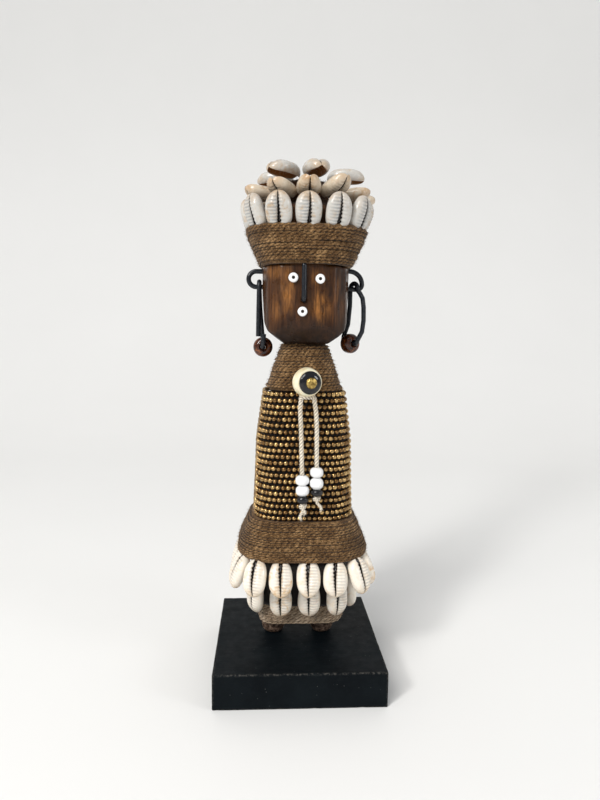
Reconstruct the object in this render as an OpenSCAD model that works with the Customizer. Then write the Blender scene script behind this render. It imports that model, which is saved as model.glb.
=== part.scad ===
// Carved wooden fertility doll with twine, seed beads and cowrie shells, on a painted wooden plinth.
// Millimetres, +Z up, origin at the centre of the plinth's underside, the doll faces -Y.

/* [Plinth] */
// Width and depth of the plinth
plinth_w = 90; // [86:1:96]
// Thickness of the plinth board
plinth_h = 19; // [18:0.5:22]
// Bevel along the plinth's top edge
plinth_bevel = 0.8; // [0.4:0.1:1.5]

/* [Doll] */
// How far the doll's axis stands to the right of the plinth's centre
doll_x = 2; // [-3:0.5:3]
// How far the doll's axis stands behind the plinth's centre
doll_y = 2; // [-3:0.5:3]

/* [Wire ornaments] */
// Diameter of the black wire of the ears, earrings and nose
wire_d = 2.6; // [2.4:0.1:2.6]
// Gap round the wire where an earring or its bead turns on it
running_gap = 0.09; // [0.05:0.01:0.1]
// Diameter of the earring beads
earring_bead_d = 10.7; // [10:0.1:10.7]

/* [Beads and cords] */
// Diameter of a torso seed bead
seed_bead_d = 2.7; // [2.4:0.1:2.7]
// Distance from one torso bead to the next along its string
seed_bead_step = 2.74; // [2.72:0.01:3]
// Diameter of the cotton cord that hangs on the chest
cord_d = 2.4; // [2:0.1:2.4]
// Diameter of the white beads on the cord
white_bead_d = 7.3; // [6.8:0.1:7.3]
// Diameter of the black beads on the cord
black_bead_d = 6.4; // [5.8:0.1:6.4]

/* [Cowries] */
// Length of a cowrie of the skirt
skirt_cowrie_l = 19; // [17:0.5:20]
// Width of a cowrie of the skirt
skirt_cowrie_w = 13; // [12:0.1:13]
// Length of a cowrie of the crown
crown_cowrie_l = 19; // [17:0.5:19]
// Width of a cowrie of the crown
crown_cowrie_w = 14; // [12.5:0.1:14]

/* [Hidden] */
$fn = 48;

wood = "#5a3420";
twine = "#8a6a44";
cowrie_white = "#eee6d8";
black_cloth = "#17120f";
wire_black = "#15181d";
bronze = "#8a6a2c";
amber = "#7a2d0e";
cotton = "#e6d9c2";

// Heights of the doll's zones, from the underside of the plinth
leg_wrap_z = 27.6;
skirt_z = 40.2;
hem_z = 71;
hem_tuck_z = 74.3;
hip_top_z = 90.7;
torso_top_z = 160.2;
chin_z = 185.2;
brow_z = 226;
band_top_z = 245;

// The torso's bead strings: twenty-one rows, three to a node
strings = 21;
strings_per_node = 3;
string_low_z = 92.4;
string_step_z = 3.3;

// Outer sizes [height, width, depth] of the bead strings, low to high
torso_sizes = [[90, 55.6, 48.4], [97, 55, 48], [116, 53.5, 46.5], [133, 52.7, 45.5],
    [147, 49.1, 43], [160.5, 45.6, 40.6]];
// Outer sizes of the twine round the neck, hips, head and legs, low to high
neck_sizes = [[160, 41.2, 39.5], [163.5, 39.3, 38], [175, 32, 31], [184, 25.4, 24.6], [186, 24, 23]];
hip_sizes = [[71, 71.4, 63.8], [73, 72, 64.4], [77.6, 69, 61], [86.5, 61.6, 54], [91, 57.6, 50.4]];
band_sizes = [[226, 49, 50.4], [235, 56.6, 56], [245, 65.2, 62]];
leg_sizes = [[27.6, 43, 21], [29.4, 46.4, 25], [31.2, 48, 27.6], [33, 48.6, 28.4], [40.2, 48.6, 28.6]];
// Sizes of the wooden core, low to high
core_sizes = [[28, 40, 19], [40, 44, 24.5], [52, 44.6, 26.5], [71, 51, 44], [95, 47, 40],
    [133, 44.5, 37], [160, 36.5, 33], [chin_z, 21, 20]];
// Widest sizes of the head's wooden top inside the band, low to high
brow_top_z = 240;
brow_sizes = [[brow_z, 43.5, 42.5], [brow_top_z, 54.4, 50.8]];

// Ear loops and earrings: the left ear's lower strand, and the right ear's
wire_r = wire_d / 2;
earring_turn_r = wire_d + running_gap + 0.06;
left_ear_z = 215.3;
left_ear_top_z = 223.6;
left_earring_x = -23.1;
left_bead_at = [-20.8, 0, 182.9];
right_ear_z = 214.9;
right_ear_top_z = 224.6;
right_earring_x = 28.7;
right_bead_at = [27.2, 0, 185.4];
right_turn = 30;
right_turn_r = 3.15;
earring_bead_l = 7.8;
through_l = 4.3;

// Pendant: its centre, its turn to the right, and the chest surface behind it
pendant_at = [2.6, -23.1, 165.5];
pendant_turn = 17;
pendant_l = 7.2;
tack_l = 26;

// Cord strands: the hinge line over the torso, and each strand's route
cord_r = cord_d / 2;
hitch_y = -23;
hitch_z = 157.6;
left_route = [[-0.9, -23, 156.3], [-1.1, -23.1, 150], [-0.6, -23.8, 141],
    [-0.3, -24.4, 132], [0, -25, 123], [0.3, -25.6, 114], [0.6, -26.2, 105], [0.7, -26.4, 102.5]];
right_route = [[6.1, -23, 156.3], [7.1, -23.1, 150], [7.6, -23.7, 141],
    [7.7, -24.3, 132], [7.8, -24.9, 123], [7.9, -25.5, 114], [8, -26, 106.5]];
left_heights = [114.4, 108.9, 104.2, 100.6];
right_heights = [118.5, 112.8, 107.9, 104.6];

/* ---------- shared shapes ---------- */

function between(a, b, t) = a + (b - a) * t;

// Size [width, depth] at height z, read off a list of [height, width, depth]
function size_at(sizes, z, i = 0) =
    i >= len(sizes) - 2 || z < sizes[i + 1][0]
    ? let (t = (z - sizes[i][0]) / (sizes[i + 1][0] - sizes[i][0]))
      [between(sizes[i][1], sizes[i + 1][1], t), between(sizes[i][2], sizes[i + 1][2], t)]
    : size_at(sizes, z, i + 1);

// Outline of a rounded rectangle: corner arcs in steps of 90 / steps degrees
function rounded(w, d, r, steps = 4) =
    [for (q = [0:3], k = [0:steps])
        let (a = 90 * q + 90 * k / steps,
             cx = (q == 0 || q == 3 ? 1 : -1) * (w / 2 - r),
             cy = (q < 2 ? 1 : -1) * (d / 2 - r))
        [cx + r * cos(a), cy + r * sin(a)]];

function corner(w, d) = min(w, d) * 0.34;

// Flat ring standing on z: rounded outside, and chamfered inside as the core is, or rounded too
module ring(z, h, outer, inner, inner_steps = 1) {
    a = rounded(outer[0], outer[1], corner(outer[0], outer[1]));
    b = rounded(inner[0], inner[1], corner(inner[0], inner[1]), inner_steps);
    n = len(a);
    translate([doll_x, doll_y, z]) linear_extrude(height = h)
        polygon(concat(a, b), [[for (i = [0:n - 1]) i], [for (i = [0:len(b) - 1]) n + i]]);
}

// Rows of twine, each a ridge with a shallow groove above it
module twine_rows(z0, z1, rows, sizes, inner, inner_steps = 1) {
    step = (z1 - z0) / rows;
    groove = 0.35;
    for (i = [0:rows - 1]) {
        z = z0 + i * step;
        s = size_at(sizes, z + step / 2);
        ring(z, step * 0.75, s, inner(z, z + step), inner_steps);
        ring(z + step * 0.75, step * 0.25, s - [2 * groove, 2 * groove], inner(z, z + step), inner_steps);
    }
}

// Inner size of a ring that clears the wood between two heights
function over_core(z0, z1) = let (a = size_at(core_sizes, z0), b = size_at(core_sizes, z1))
    [max(a[0], b[0]), max(a[1], b[1])];
function over_brow(z0, z1) = size_at(brow_sizes, z1);

// Half size across the chamfered corners of a core section
function chamfer(w, d) = (w / 2 + d / 2 - corner(w, d)) / sqrt(2);

// Slab in X and Z whose half sizes are listed as [z, half], low to high, and which runs on in Y
module slab(halves) {
    n = len(halves);
    translate([0, 100, 0]) rotate([90, 0, 0]) linear_extrude(height = 200)
        polygon(concat([for (p = halves) [p[1], p[0]]],
            [for (i = [1:n]) [-halves[n - i][1], halves[n - i][0]]]));
}

// Section of the same size as a given one, further along, to run a core into the head
tenon_l = 3;
function tenon(section, l) = [section[0] + l, section[1], section[2]];

// Tapering wooden core through sections [z, width, depth], low to high, with chamfered corners
module core(sizes) {
    corners = [for (s = sizes) [s[0], chamfer(s[1], s[2])]];
    translate([doll_x, doll_y, 0]) intersection() {
        slab([for (s = sizes) [s[0], s[1] / 2]]);
        rotate([0, 0, 90]) slab([for (s = sizes) [s[0], s[2] / 2]]);
        rotate([0, 0, 45]) slab(corners);
        rotate([0, 0, 135]) slab(corners);
    }
}

// Straight round rod from p to q
module rod(p, q, r) {
    v = q - p;
    translate(p) rotate([0, acos(v[2] / norm(v)), atan2(v[1], v[0])]) cylinder(h = norm(v), r = r);
}

// Wire bent at each inner point of a list
module bent_wire(points, r) {
    for (i = [0:len(points) - 2]) rod(points[i], points[i + 1], r);
    for (i = [1:len(points) - 2]) translate(points[i]) sphere(r = r * 1.03);
}

// Bead about its Z axis, with a rounded side and a bore
module bead(d, l, bore, edge) {
    rotate_extrude() difference() {
        union() {
            square([d / 2 - edge, l]);
            translate([0, edge]) square([d / 2, l - 2 * edge]);
            for (y = [edge, l - edge]) translate([d / 2 - edge, y]) circle(r = edge);
        }
        translate([-1, -1]) square([1 + bore / 2, l + 2]);
        translate([-d, -1]) square([d, l + 2]);
    }
}

// Place on a rounded rectangle at distance s along it from the middle of the front:
// [x, y, outward angle]
function edge_len(w, d, r) = 2 * (w + d) - 8 * r + 2 * PI * r;
function on_edge(s, w, d, r) =
    let (f = w / 2 - r, e = d / 2 - r, arc = PI * r / 2, t = s % edge_len(w, d, r))
    t < f ? [t, -d / 2, -90]
    : t < f + arc ? let (a = -90 + 90 * (t - f) / arc) [f + r * cos(a), -e + r * sin(a), a]
    : t < f + arc + 2 * e ? [w / 2, -e + t - f - arc, 0]
    : t < f + 2 * arc + 2 * e ? let (a = 90 * (t - f - arc - 2 * e) / arc)
        [f + r * cos(a), e + r * sin(a), a]
    : t < 3 * f + 2 * arc + 2 * e ? [f - (t - f - 2 * arc - 2 * e), d / 2, 90]
    : t < 3 * f + 3 * arc + 2 * e ? let (a = 90 + 90 * (t - 3 * f - 2 * arc - 2 * e) / arc)
        [-f + r * cos(a), e + r * sin(a), a]
    : t < 3 * f + 3 * arc + 4 * e ? [-w / 2, e - (t - 3 * f - 3 * arc - 2 * e), 180]
    : t < 3 * f + 4 * arc + 4 * e ? let (a = 180 + 90 * (t - 3 * f - 3 * arc - 4 * e) / arc)
        [-f + r * cos(a), -e + r * sin(a), a]
    : [-f + (t - 3 * f - 4 * arc - 4 * e), -d / 2, 270];

// Cowrie ground flat at the back. Back face on y = 0, mouth towards -Y, bound end at z = 0,
// free end at z = l. The mouth is wide at the bound end and runs out at the free end.
module cowrie(l, w, t) {
    long = l * 1.22;
    arc_r = (long * long / 4 + w * w / 4) / w;
    difference() {
        intersection() {
            translate([0, w / 2 - t, l / 2]) rotate_extrude() intersection() {
                translate([w / 2 - arc_r, 0]) circle(r = arc_r, $fn = 96);
                translate([0, -long / 2]) square([w, long]);
            }
            translate([0, 0, l / 2 - 0.4]) sphere(r = l / 2 + 0.4);
            translate([0, 0, -1]) linear_extrude(height = l + 2)
                polygon([[-w * 0.39, 0], [w * 0.39, 0], [w * 0.52, -t * 0.5], [w * 0.52, -t - 1],
                    [-w * 0.52, -t - 1], [-w * 0.52, -t * 0.5]]);
        }
        translate([0, -t * 0.55, 0]) rotate([90, 0, 0]) linear_extrude(height = t)
            polygon([[-1.1, l * 0.1], [1.1, l * 0.1], [1, l * 0.4], [0.6, l * 0.86], [-0.3, l * 0.86],
                [-0.8, l * 0.4]]);
    }
}

// Row of cowries standing outward round the doll, evenly spaced along the outline of their
// widest parts. size is the outline at the backs of their bound ends, r its widest corner radius.
module cowrie_row(n, z, size, r, lean, up, l, w, t, first = 0) {
    out = t / 2 + sin(lean) * l / 2;
    wide = size + [2 * out, 2 * out];
    span = edge_len(wide[0], wide[1], r);
    for (i = [0:n - 1]) {
        p = on_edge(first + i * span / n, wide[0], wide[1], r);
        tilt = 2 * sin(i * 137);
        translate([doll_x + p[0] - out * cos(p[2]), doll_y + p[1] - out * sin(p[2]), z])
            rotate([0, 0, p[2] + 90]) rotate([up ? lean : -lean, tilt, 0])
            rotate([0, up ? 0 : 180, 0]) cowrie(l, w, t);
    }
}

// One cowrie put down by hand: place is [direction, bound end's radius, height, pitch]
module placed_cowrie(place, roll, l, w, t) {
    translate([doll_x, doll_y, 0]) rotate([0, 0, place[0] + 90]) translate([0, -place[1], place[2]])
        rotate([place[3], 0, 0]) rotate([0, 0, roll]) cowrie(l, w, t);
}

// Tube swept along a route, with end caps square to its first and last stretches
function swept_ring(p, d, r, m) =
    let (u = d / norm(d), a = cross([1, 0, 0], u) / norm(cross([1, 0, 0], u)), b = cross(u, a))
    [for (k = [0:m - 1]) p + r * (cos(360 * k / m) * a + sin(360 * k / m) * b)];
module swept(route, r, m) {
    n = len(route);
    along = [for (i = [0:n - 2]) (route[i + 1] - route[i]) / norm(route[i + 1] - route[i])];
    rings = [for (i = [0:n - 1])
        each swept_ring(route[i], along[min(i, n - 2)] + along[max(i - 1, 0)], r, m)];
    sides = [for (i = [0:n - 2], k = [0:m - 1])
        [m * i + k, m * i + m + k, m * i + m + (k + 1) % m, m * i + (k + 1) % m]];
    polyhedron(rings, concat(sides, [[for (k = [0:m - 1]) k], [for (k = [m - 1:-1:0]) m * n - m + k]]));
}
module cord(route, r) { swept(route, r, 8); }
// Leg of an earring: it butts end to end against the turned wire at both of its ends
module wire_leg(route) { swept(route, wire_r - 0.02, 12); }

// Point of a straight strand at height z, from its last straight stretch
function strand_point(a, b, z) = a + (b - a) * (z - a[2]) / (b[2] - a[2]);

// Turns a shape's Z axis onto the strand's upward direction and puts it at height z of the strand
module on_strand(a, b, z) {
    v = a - b;
    translate(strand_point(a, b, z)) rotate([0, acos(v[2] / norm(v)), atan2(v[1], v[0])]) children();
}

/* ---------- sub-parts ---------- */

module plinth() {
    color("#161616") difference() {
        union() {
            translate([-plinth_w / 2, -plinth_w / 2, 0])
                cube([plinth_w, plinth_w, plinth_h - plinth_bevel]);
            intersection() {
                bevel_prism();
                rotate([0, 0, 90]) bevel_prism();
            }
        }
        for (x = foot_xs) translate([x, foot_y, plinth_h - pin_l / 2])
            cylinder(h = pin_l, r = pin_r);
    }
}

// Top layer of the plinth with two bevelled sides
module bevel_prism() {
    h = plinth_w / 2;
    translate([0, h, plinth_h - plinth_bevel]) rotate([90, 0, 0]) linear_extrude(height = plinth_w)
        polygon([[-h, 0], [h, 0], [h - plinth_bevel, plinth_bevel], [plinth_bevel - h, plinth_bevel]]);
}

foot_xs = [-13.4, 14.4];
foot_y = doll_y + 0.5;
pin_r = 1.5;
pin_l = 18;

module foot_pins() {
    color("#7d8086") for (x = foot_xs)
        translate([x, foot_y, plinth_h - pin_l / 2]) cylinder(h = pin_l, r = pin_r);
}

module carved_figure() {
    color(wood) difference() {
        union() {
            legs();
            core(concat(core_sizes, [tenon(core_sizes[len(core_sizes) - 1], tenon_l)]));
            head();
            core(concat([tenon(brow_sizes[0], -tenon_l)], brow_sizes));
        }
        for (x = foot_xs) translate([x, foot_y, plinth_h - 1]) cylinder(h = pin_l / 2 + 1, r = pin_r);
        for (p = face_points) translate([p[0], p[1] - 1, p[2]]) rotate([-90, 0, 0])
            cylinder(h = 10, r = face_pin_r);
        translate([nose_x, nose_y, nose_low_z]) rotate([-90, 0, 0]) cylinder(h = 8, r = wire_r + 0.02);
        for (z = [left_ear_z, left_ear_top_z]) translate([-27, doll_y - 2, z]) rotate([0, 90, 0])
            cylinder(h = 12, r = wire_r);
        for (z = [right_ear_z, right_ear_top_z]) translate([18.5, doll_y - 2, z]) rotate([0, 90, 0])
            cylinder(h = 12, r = wire_r);
        pendant_place() translate([0, 0, -tack_l]) cylinder(h = tack_l, r = tack_r);
    }
}

// Stub legs, round-footed and tapering to the plinth
module legs() {
    for (x = foot_xs) translate([x, foot_y, plinth_h]) rotate_extrude()
        polygon([[0, 0], [4.2, 0], [5.6, 0.8], [6.6, 2.6], [7.1, 5.5], [7.2, 8.4], [4.6, 8.4],
            [4.6, 12], [0, 12]]);
}

// Head: the front outline, side outline and faceted plan, all three cut from one block
module head() {
    h = brow_z - chin_z;
    translate([doll_x, doll_y, chin_z]) intersection() {
        translate([0, 60, 0]) rotate([90, 0, 0]) linear_extrude(height = 120)
            polygon([[-11.7, 0], [11.7, 0], [20.4, 6.4], [22.1, 10.8], [23.25, 26], [23.25, h],
                [-23.25, h], [-23.25, 26], [-22.1, 10.8], [-20.4, 6.4]]);
        translate([-60, 0, 0]) rotate([90, 0, 90]) linear_extrude(height = 120)
            polygon([[-15.5, 0], [15, 0], [20.5, 8], [22, 16], [22, h], [-22, h], [-22.2, 14],
                [-21.2, 8]]);
        linear_extrude(height = h)
            polygon([[-5.5, -22.2], [5.5, -22.2], [14.5, -20.6], [20.6, -14.5], [23.25, -5],
                [23.25, 8], [19.5, 16.5], [9, 22], [-9, 22], [-19.5, 16.5], [-23.25, 8],
                [-23.25, -5], [-20.6, -14.5], [-14.5, -20.6]]);
    }
}

module leg_wrap() { color("#9c8468") twine_rows(leg_wrap_z, skirt_z, 7, leg_sizes,
    function(a, b) over_core(a, b)); }

// Black cloth band that the skirt's cowries are sewn to: straight below, flared up into the hem
module skirt_cloth() {
    flare_z = 56.2;
    sizes = [[flare_z, 47.6, 31.6], [hem_z, 55, 48.4]];
    steps = 5;
    step = (hem_z - flare_z) / steps;
    color(black_cloth) {
        ring(skirt_z, flare_z - skirt_z, [sizes[0][1], sizes[0][2]], over_core(skirt_z, flare_z));
        for (i = [0:steps - 1]) {
            z = flare_z + i * step;
            ring(z, step, size_at(sizes, z + step), over_core(z, z + step));
        }
        ring(hem_z, hem_tuck_z - hem_z, size_at(sizes, hem_z), over_core(hem_z, hem_tuck_z));
    }
}

module skirt_cowries_lower() {
    color(cowrie_white)
        cowrie_row(11, 55.5, [50.6, 35], 14, 2, false, skirt_cowrie_l, skirt_cowrie_w - 0.6, 5.8, 3.5);
}

module skirt_cowries_upper() {
    color(cowrie_white)
        cowrie_row(17, hem_z - 0.6, [58.6, 51.2], 17, 22, false, skirt_cowrie_l, skirt_cowrie_w - 0.1,
            6.4, 2.1);
}

// The hem's lowest rows hang over the bound ends of the shells
module hip_wrap() {
    edge_wall = 1.2;
    color(twine) {
        twine_rows(hem_z, hem_tuck_z, 2, hip_sizes,
            function(a, b) size_at(hip_sizes, a) - [2 * edge_wall, 2 * edge_wall], 4);
        twine_rows(hem_tuck_z, hip_top_z, 10, hip_sizes, function(a, b) over_core(a, b));
    }
}

// Black ground under the bead strings, one step for each string
module torso_cloth() {
    color(black_cloth) for (i = [0:strings - 1]) {
        z = string_low_z + (i - 0.5) * string_step_z;
        s = size_at(torso_sizes, z + string_step_z / 2) - [2 * seed_bead_d, 2 * seed_bead_d];
        ring(z, string_step_z, s, over_core(z, z + string_step_z));
    }
}

// A group of bead strings, each a closed ring of round seed beads
module bead_strings(group) {
    color(bronze) for (i = [0:strings_per_node - 1]) {
        row = (group - 1) * strings_per_node + i;
        z = string_low_z + row * string_step_z;
        s = size_at(torso_sizes, z) - [seed_bead_d, seed_bead_d];
        r = corner(s[0], s[1]);
        n = floor(edge_len(s[0], s[1], r) / seed_bead_step);
        for (k = [0:n - 1]) {
            p = on_edge((k + 0.37 * row) * edge_len(s[0], s[1], r) / n, s[0], s[1], r);
            translate([doll_x + p[0], doll_y + p[1], z]) sphere(d = seed_bead_d, $fn = 24);
        }
    }
}

module neck_wrap() {
    color(twine) difference() {
        twine_rows(torso_top_z, chin_z, 13, neck_sizes, function(a, b) over_core(a, b));
        pendant_place() translate([0, 0, -tack_l]) cylinder(h = tack_l, r = tack_r);
    }
}

module head_band() {
    edge_wall = 1;
    color(twine) {
        twine_rows(brow_z, brow_top_z, 10, band_sizes, function(a, b) over_brow(a, b));
        twine_rows(brow_top_z, band_top_z, 3, band_sizes,
            function(a, b) size_at(band_sizes, a) - [2 * edge_wall, 2 * edge_wall], 4);
    }
}

// Dark fibre pad inside the crown, which the shells are sewn to
module crown_pad() {
    color("#2a1a12") translate([doll_x, doll_y, brow_top_z]) rotate_extrude()
        polygon([[0, 0], [22.5, 0], [22.5, 16.6], [21.5, 17.6], [12.5, 17.6], [12, 31.3], [0, 31.3]]);
}

module crown_cowries_lower() {
    color(cowrie_white)
        cowrie_row(14, 243, [49.2, 46.2], 20, 21, true, crown_cowrie_l, crown_cowrie_w, 6.2, -0.6);
}

// Shells put down by hand: [direction, bound end's radius, height of the back, pitch]
middle_shells = [[-158, 16, 264.6, 84], [-125, 14, 264.6, 80], [-91, 14, 264.4, 78], [-57, 15, 264.4, 72],
    [-23, 16, 265, 86], [8, 20, 267.4, 96], [43, 15, 264.6, 80], [78, 14, 264.6, 78],
    [114, 14, 264.6, 82], [156, 15, 264.6, 80]];

module crown_cowries_middle() {
    color("#e2cfae") for (s = middle_shells)
        placed_cowrie(s, 0, crown_cowrie_l, crown_cowrie_w - 1.4, 6.2);
}

// The rosette on top lies on its cut backs, mouths up
top_shells = [[-78, 8, 271.8, 90], [-138, 8, 271.8, 88], [160, 8.5, 271.8, 92], [84, 8, 271.8, 90],
    [-4, 11.5, 271.8, 91]];

module crown_cowries_top() {
    color(cowrie_white) for (s = top_shells)
        placed_cowrie(s, 180, crown_cowrie_l + 0.5, crown_cowrie_w - 0.4, 6.4);
}

// The two eyes and the mouth, on the face's front
face_points = [[-5.5, -20.2, 218.8], [8.3, -20.2, 218.4], [-0.6, -20.4, 201.7]];
face_pin_r = 0.75;

module face_bead(i) {
    color("white") translate(face_points[i]) rotate([90, 0, 0]) bead(5, 2, 1.7, 0.9);
}
module left_eye_bead() { face_bead(0); }
module right_eye_bead() { face_bead(1); }
module mouth_bead() { face_bead(2); }
module face_pins() {
    color("#1a1410") for (p = face_points) translate([p[0], p[1] - 1.6, p[2]])
        rotate([-90, 0, 0]) cylinder(h = 10.6, r = face_pin_r);
}

nose_x = 0;
nose_y = -21.65;
nose_low_z = 207.6;
module nose_wire() {
    color(wire_black) {
        rod([nose_x, nose_y, nose_low_z], [nose_x, nose_y, brow_z], wire_r);
        translate([nose_x, nose_y, nose_low_z]) sphere(r = wire_r * 1.01);
        rod([nose_x, nose_y, nose_low_z], [nose_x, nose_y + 8, nose_low_z], wire_r);
    }
}

// D-shaped loop: lower strand out of the head, a round outer end, upper strand back into it
module left_ear_loop() {
    r = (left_ear_top_z - left_ear_z) / 2;
    out = -24.7;
    color(wire_black) {
        rod([-15, 0, left_ear_z], [out, 0, left_ear_z], wire_r);
        rod([-15, 0, left_ear_top_z], [out, 0, left_ear_top_z], wire_r);
        translate([out, 0, left_ear_z + r]) rotate([90, 0, 0]) rotate([0, 0, 90])
            rotate_extrude(angle = 180) translate([r, 0]) circle(r = wire_r);
    }
}

module right_ear_loop() {
    low_r = 2.6;
    high_r = right_ear_top_z - right_ear_z - low_r;
    out = 30.4;
    top_out = out + low_r - high_r;
    color(wire_black) {
        rod([18.5, 0, right_ear_z], [out, 0, right_ear_z], wire_r);
        rod([18.5, 0, right_ear_top_z], [top_out, 0, right_ear_top_z], wire_r);
        translate([out, 0, right_ear_z + low_r]) rotate([90, 0, 0]) rotate([0, 0, -90])
            rotate_extrude(angle = 90) translate([low_r, 0]) circle(r = wire_r);
        translate([top_out, 0, right_ear_z + low_r]) rotate([90, 0, 0])
            rotate_extrude(angle = 90) translate([high_r, 0]) circle(r = wire_r);
    }
}

// Half turn of wire over an ear strand that runs along X
module earring_turn(at, turn, r) {
    translate(at) rotate([0, 0, turn]) rotate([90, 0, 90])
        rotate_extrude(angle = 180) translate([r, 0]) circle(r = wire_r);
}

module left_earring_wire() {
    x = left_earring_x;
    r = earring_turn_r;
    b = left_bead_at;
    color(wire_black) {
        earring_turn([x, 0, left_ear_z], 0, r);
        rod(b - [0, through_l, 0], b + [0, through_l, 0], wire_r);
        wire_leg([[x, -r, left_ear_z], [x, -r, left_ear_z - 0.6], [x - 0.2, -r - 0.2, 202],
            [x - 0.3, -r - 0.3, 188.6]]);
        wire_leg([[x, r, left_ear_z], [x, r, left_ear_z - 0.6], [x + 0.6, 3.7, 203],
            b + [-0.6, 5.2, 8], b + [-0.1, 5.9, 4], b + [0, 6, 2.4], b + [0, 5.6, 0.8],
            b + [0, 5, 0.1], b + [0, through_l + 0.3, 0], b + [0, through_l, 0]]);
        wire_leg([b - [0, through_l, 0], b - [0, through_l + 0.3, 0], b + [0, -5, 0.1],
            b + [0, -5.6, 0.8], b + [0, -6, 2.4], b + [0.2, -6, 4], b + [0.4, -5.8, 7]]);
    }
}

module right_earring_wire() {
    b = right_bead_at;
    v = [sin(right_turn), -cos(right_turn), 0];
    at = [right_earring_x, 0, right_ear_z];
    a = at + right_turn_r * v;
    c = at - right_turn_r * v;
    down = [0, 0, -0.6];
    color(wire_black) {
        earring_turn(at, right_turn, right_turn_r);
        rod(b - through_l * v, b + through_l * v, wire_r);
        wire_leg([a, a + down, a + [1.2, -1, -2.2], a + [2.6, -2, -5], [33.4, -5.6, 205],
            [33.5, -5.9, 198], [32.8, -6, 192], b + 6 * v + [1.2, -0.2, 3.6], b + 6 * v + [0.2, 0, 1.6],
            b + 5.6 * v + [0, 0, 0.5], b + (through_l + 0.3) * v, b + through_l * v]);
        wire_leg([c, c + down, [27.2, 3.6, 206], [26.5, 4.6, 196], b - 5.9 * v + [0.1, 0, 4],
            b - 6 * v + [0, 0, 2.4], b - 5.6 * v + [0, 0, 0.8], b - 5 * v + [0, 0, 0.1],
            b - (through_l + 0.3) * v, b - through_l * v]);
    }
}

// Amber bead that turns on the wire through it
module earring_bead(at, turn) {
    color(amber) translate(at) rotate([0, 0, turn]) translate([0, earring_bead_l / 2, 0])
        rotate([90, 0, 0])
            bead(earring_bead_d, earring_bead_l, wire_d + 2 * running_gap, 3.2);
}
module left_earring_bead() { earring_bead(left_bead_at, 0); }
module right_earring_bead() { earring_bead(right_bead_at, right_turn); }

/* ---------- pendant and its cord ---------- */

tack_r = 1;

// Puts Z = 0 at the pendant's back face, with +Z along its axis to the front
module pendant_place() {
    translate(pendant_at) rotate([0, 0, pendant_turn]) rotate([90, 0, 0])
        translate([0, 0, -pendant_l / 2]) children();
}

module pendant_bead() {
    color("#eadcb4") pendant_place() rotate_extrude()
        polygon([[tack_r, 0], [6.4, 0], [7.3, 0.7], [7.7, 1.8], [7.7, 3.2], [7.3, 5], [6.9, 6.6],
            [6.4, pendant_l], [tack_r, pendant_l]]);
}

module pendant_disc() {
    color("#0c0c10") pendant_place() translate([0, 0, pendant_l]) rotate_extrude()
        polygon([[tack_r, 0], [5.8, 0], [6, 0.5], [5.6, 1.2], [4.4, 1.9], [2.9, 2.3], [tack_r, 2.3]]);
}

module pendant_tack() {
    color("#b08a35") pendant_place() {
        translate([0, 0, pendant_l + 2.3 - tack_l]) cylinder(h = tack_l, r = tack_r);
        translate([0, 0, pendant_l + 2.3]) cylinder(h = 0.8, r1 = 2.9, r2 = 2.5);
        translate([0, 0, pendant_l + 3.1]) cylinder(h = 0.5, r1 = 2.5, r2 = 1.6);
    }
}

// Loop of the cord round the tack, and the cross-piece that both strands hang from
module cord_hitch() {
    left_x = left_route[0][0];
    right_x = right_route[0][0];
    color(cotton) {
        rod([left_x - cord_r, hitch_y, hitch_z], [right_x + cord_r, hitch_y, hitch_z], cord_r);
        bent_wire([[left_x, hitch_y, hitch_z], [left_x + 0.2, -19.7, 158.6], [left_x + 0.8, -18.6, 162],
            [left_x + 1.2, -18.6, 166.4], [2.4, -18.6, 168.6], [right_x - 1.4, -18.6, 166.4],
            [right_x - 0.8, -18.6, 162], [right_x - 0.2, -19.7, 158.6], [right_x, hitch_y, hitch_z]], 1.1);
    }
}

// Straight stretch that a strand's beads slide on
left_a = left_route[2];
left_b = left_route[6];
right_a = right_route[2];
right_b = right_route[6];

module left_cord() { color(cotton) cord(left_route, cord_r); }
module right_cord() { color(cotton) cord(right_route, cord_r); }

module strand_bead(a, b, z, d, l, c) {
    color(c) on_strand(a, b, z) translate([0, 0, -l / 2]) bead(d, l, cord_d + 2 * running_gap, l * 0.42);
}
module left_white_bead_upper() { strand_bead(left_a, left_b, left_heights[0], white_bead_d, 5.4, "white"); }
module left_white_bead_lower() { strand_bead(left_a, left_b, left_heights[1], white_bead_d, 5.4, "white"); }
module left_black_bead() { strand_bead(left_a, left_b, left_heights[2], black_bead_d, 3.8, "#101010"); }
module right_white_bead_upper() {
    strand_bead(right_a, right_b, right_heights[0], white_bead_d, 5.2, "white");
}
module right_white_bead_lower() {
    strand_bead(right_a, right_b, right_heights[1], white_bead_d, 6, "white");
}
module right_black_bead() { strand_bead(right_a, right_b, right_heights[2], black_bead_d, 3.6, "#101010"); }

// Knot under the lowest bead with its cut tails
module knot(a, b, z, tails) {
    c = strand_point(a, b, z);
    color(cotton) {
        translate(c) sphere(r = 1.9);
        for (t = tails) rod(c, c + t, 0.8);
    }
}
module left_knot() { knot(left_a, left_b, left_heights[3], [[-1.2, -0.6, -7.2], [1, -0.8, -4]]); }
module right_knot() { knot(right_a, right_b, right_heights[3], [[2.4, -0.8, -6.2]]); }

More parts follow.
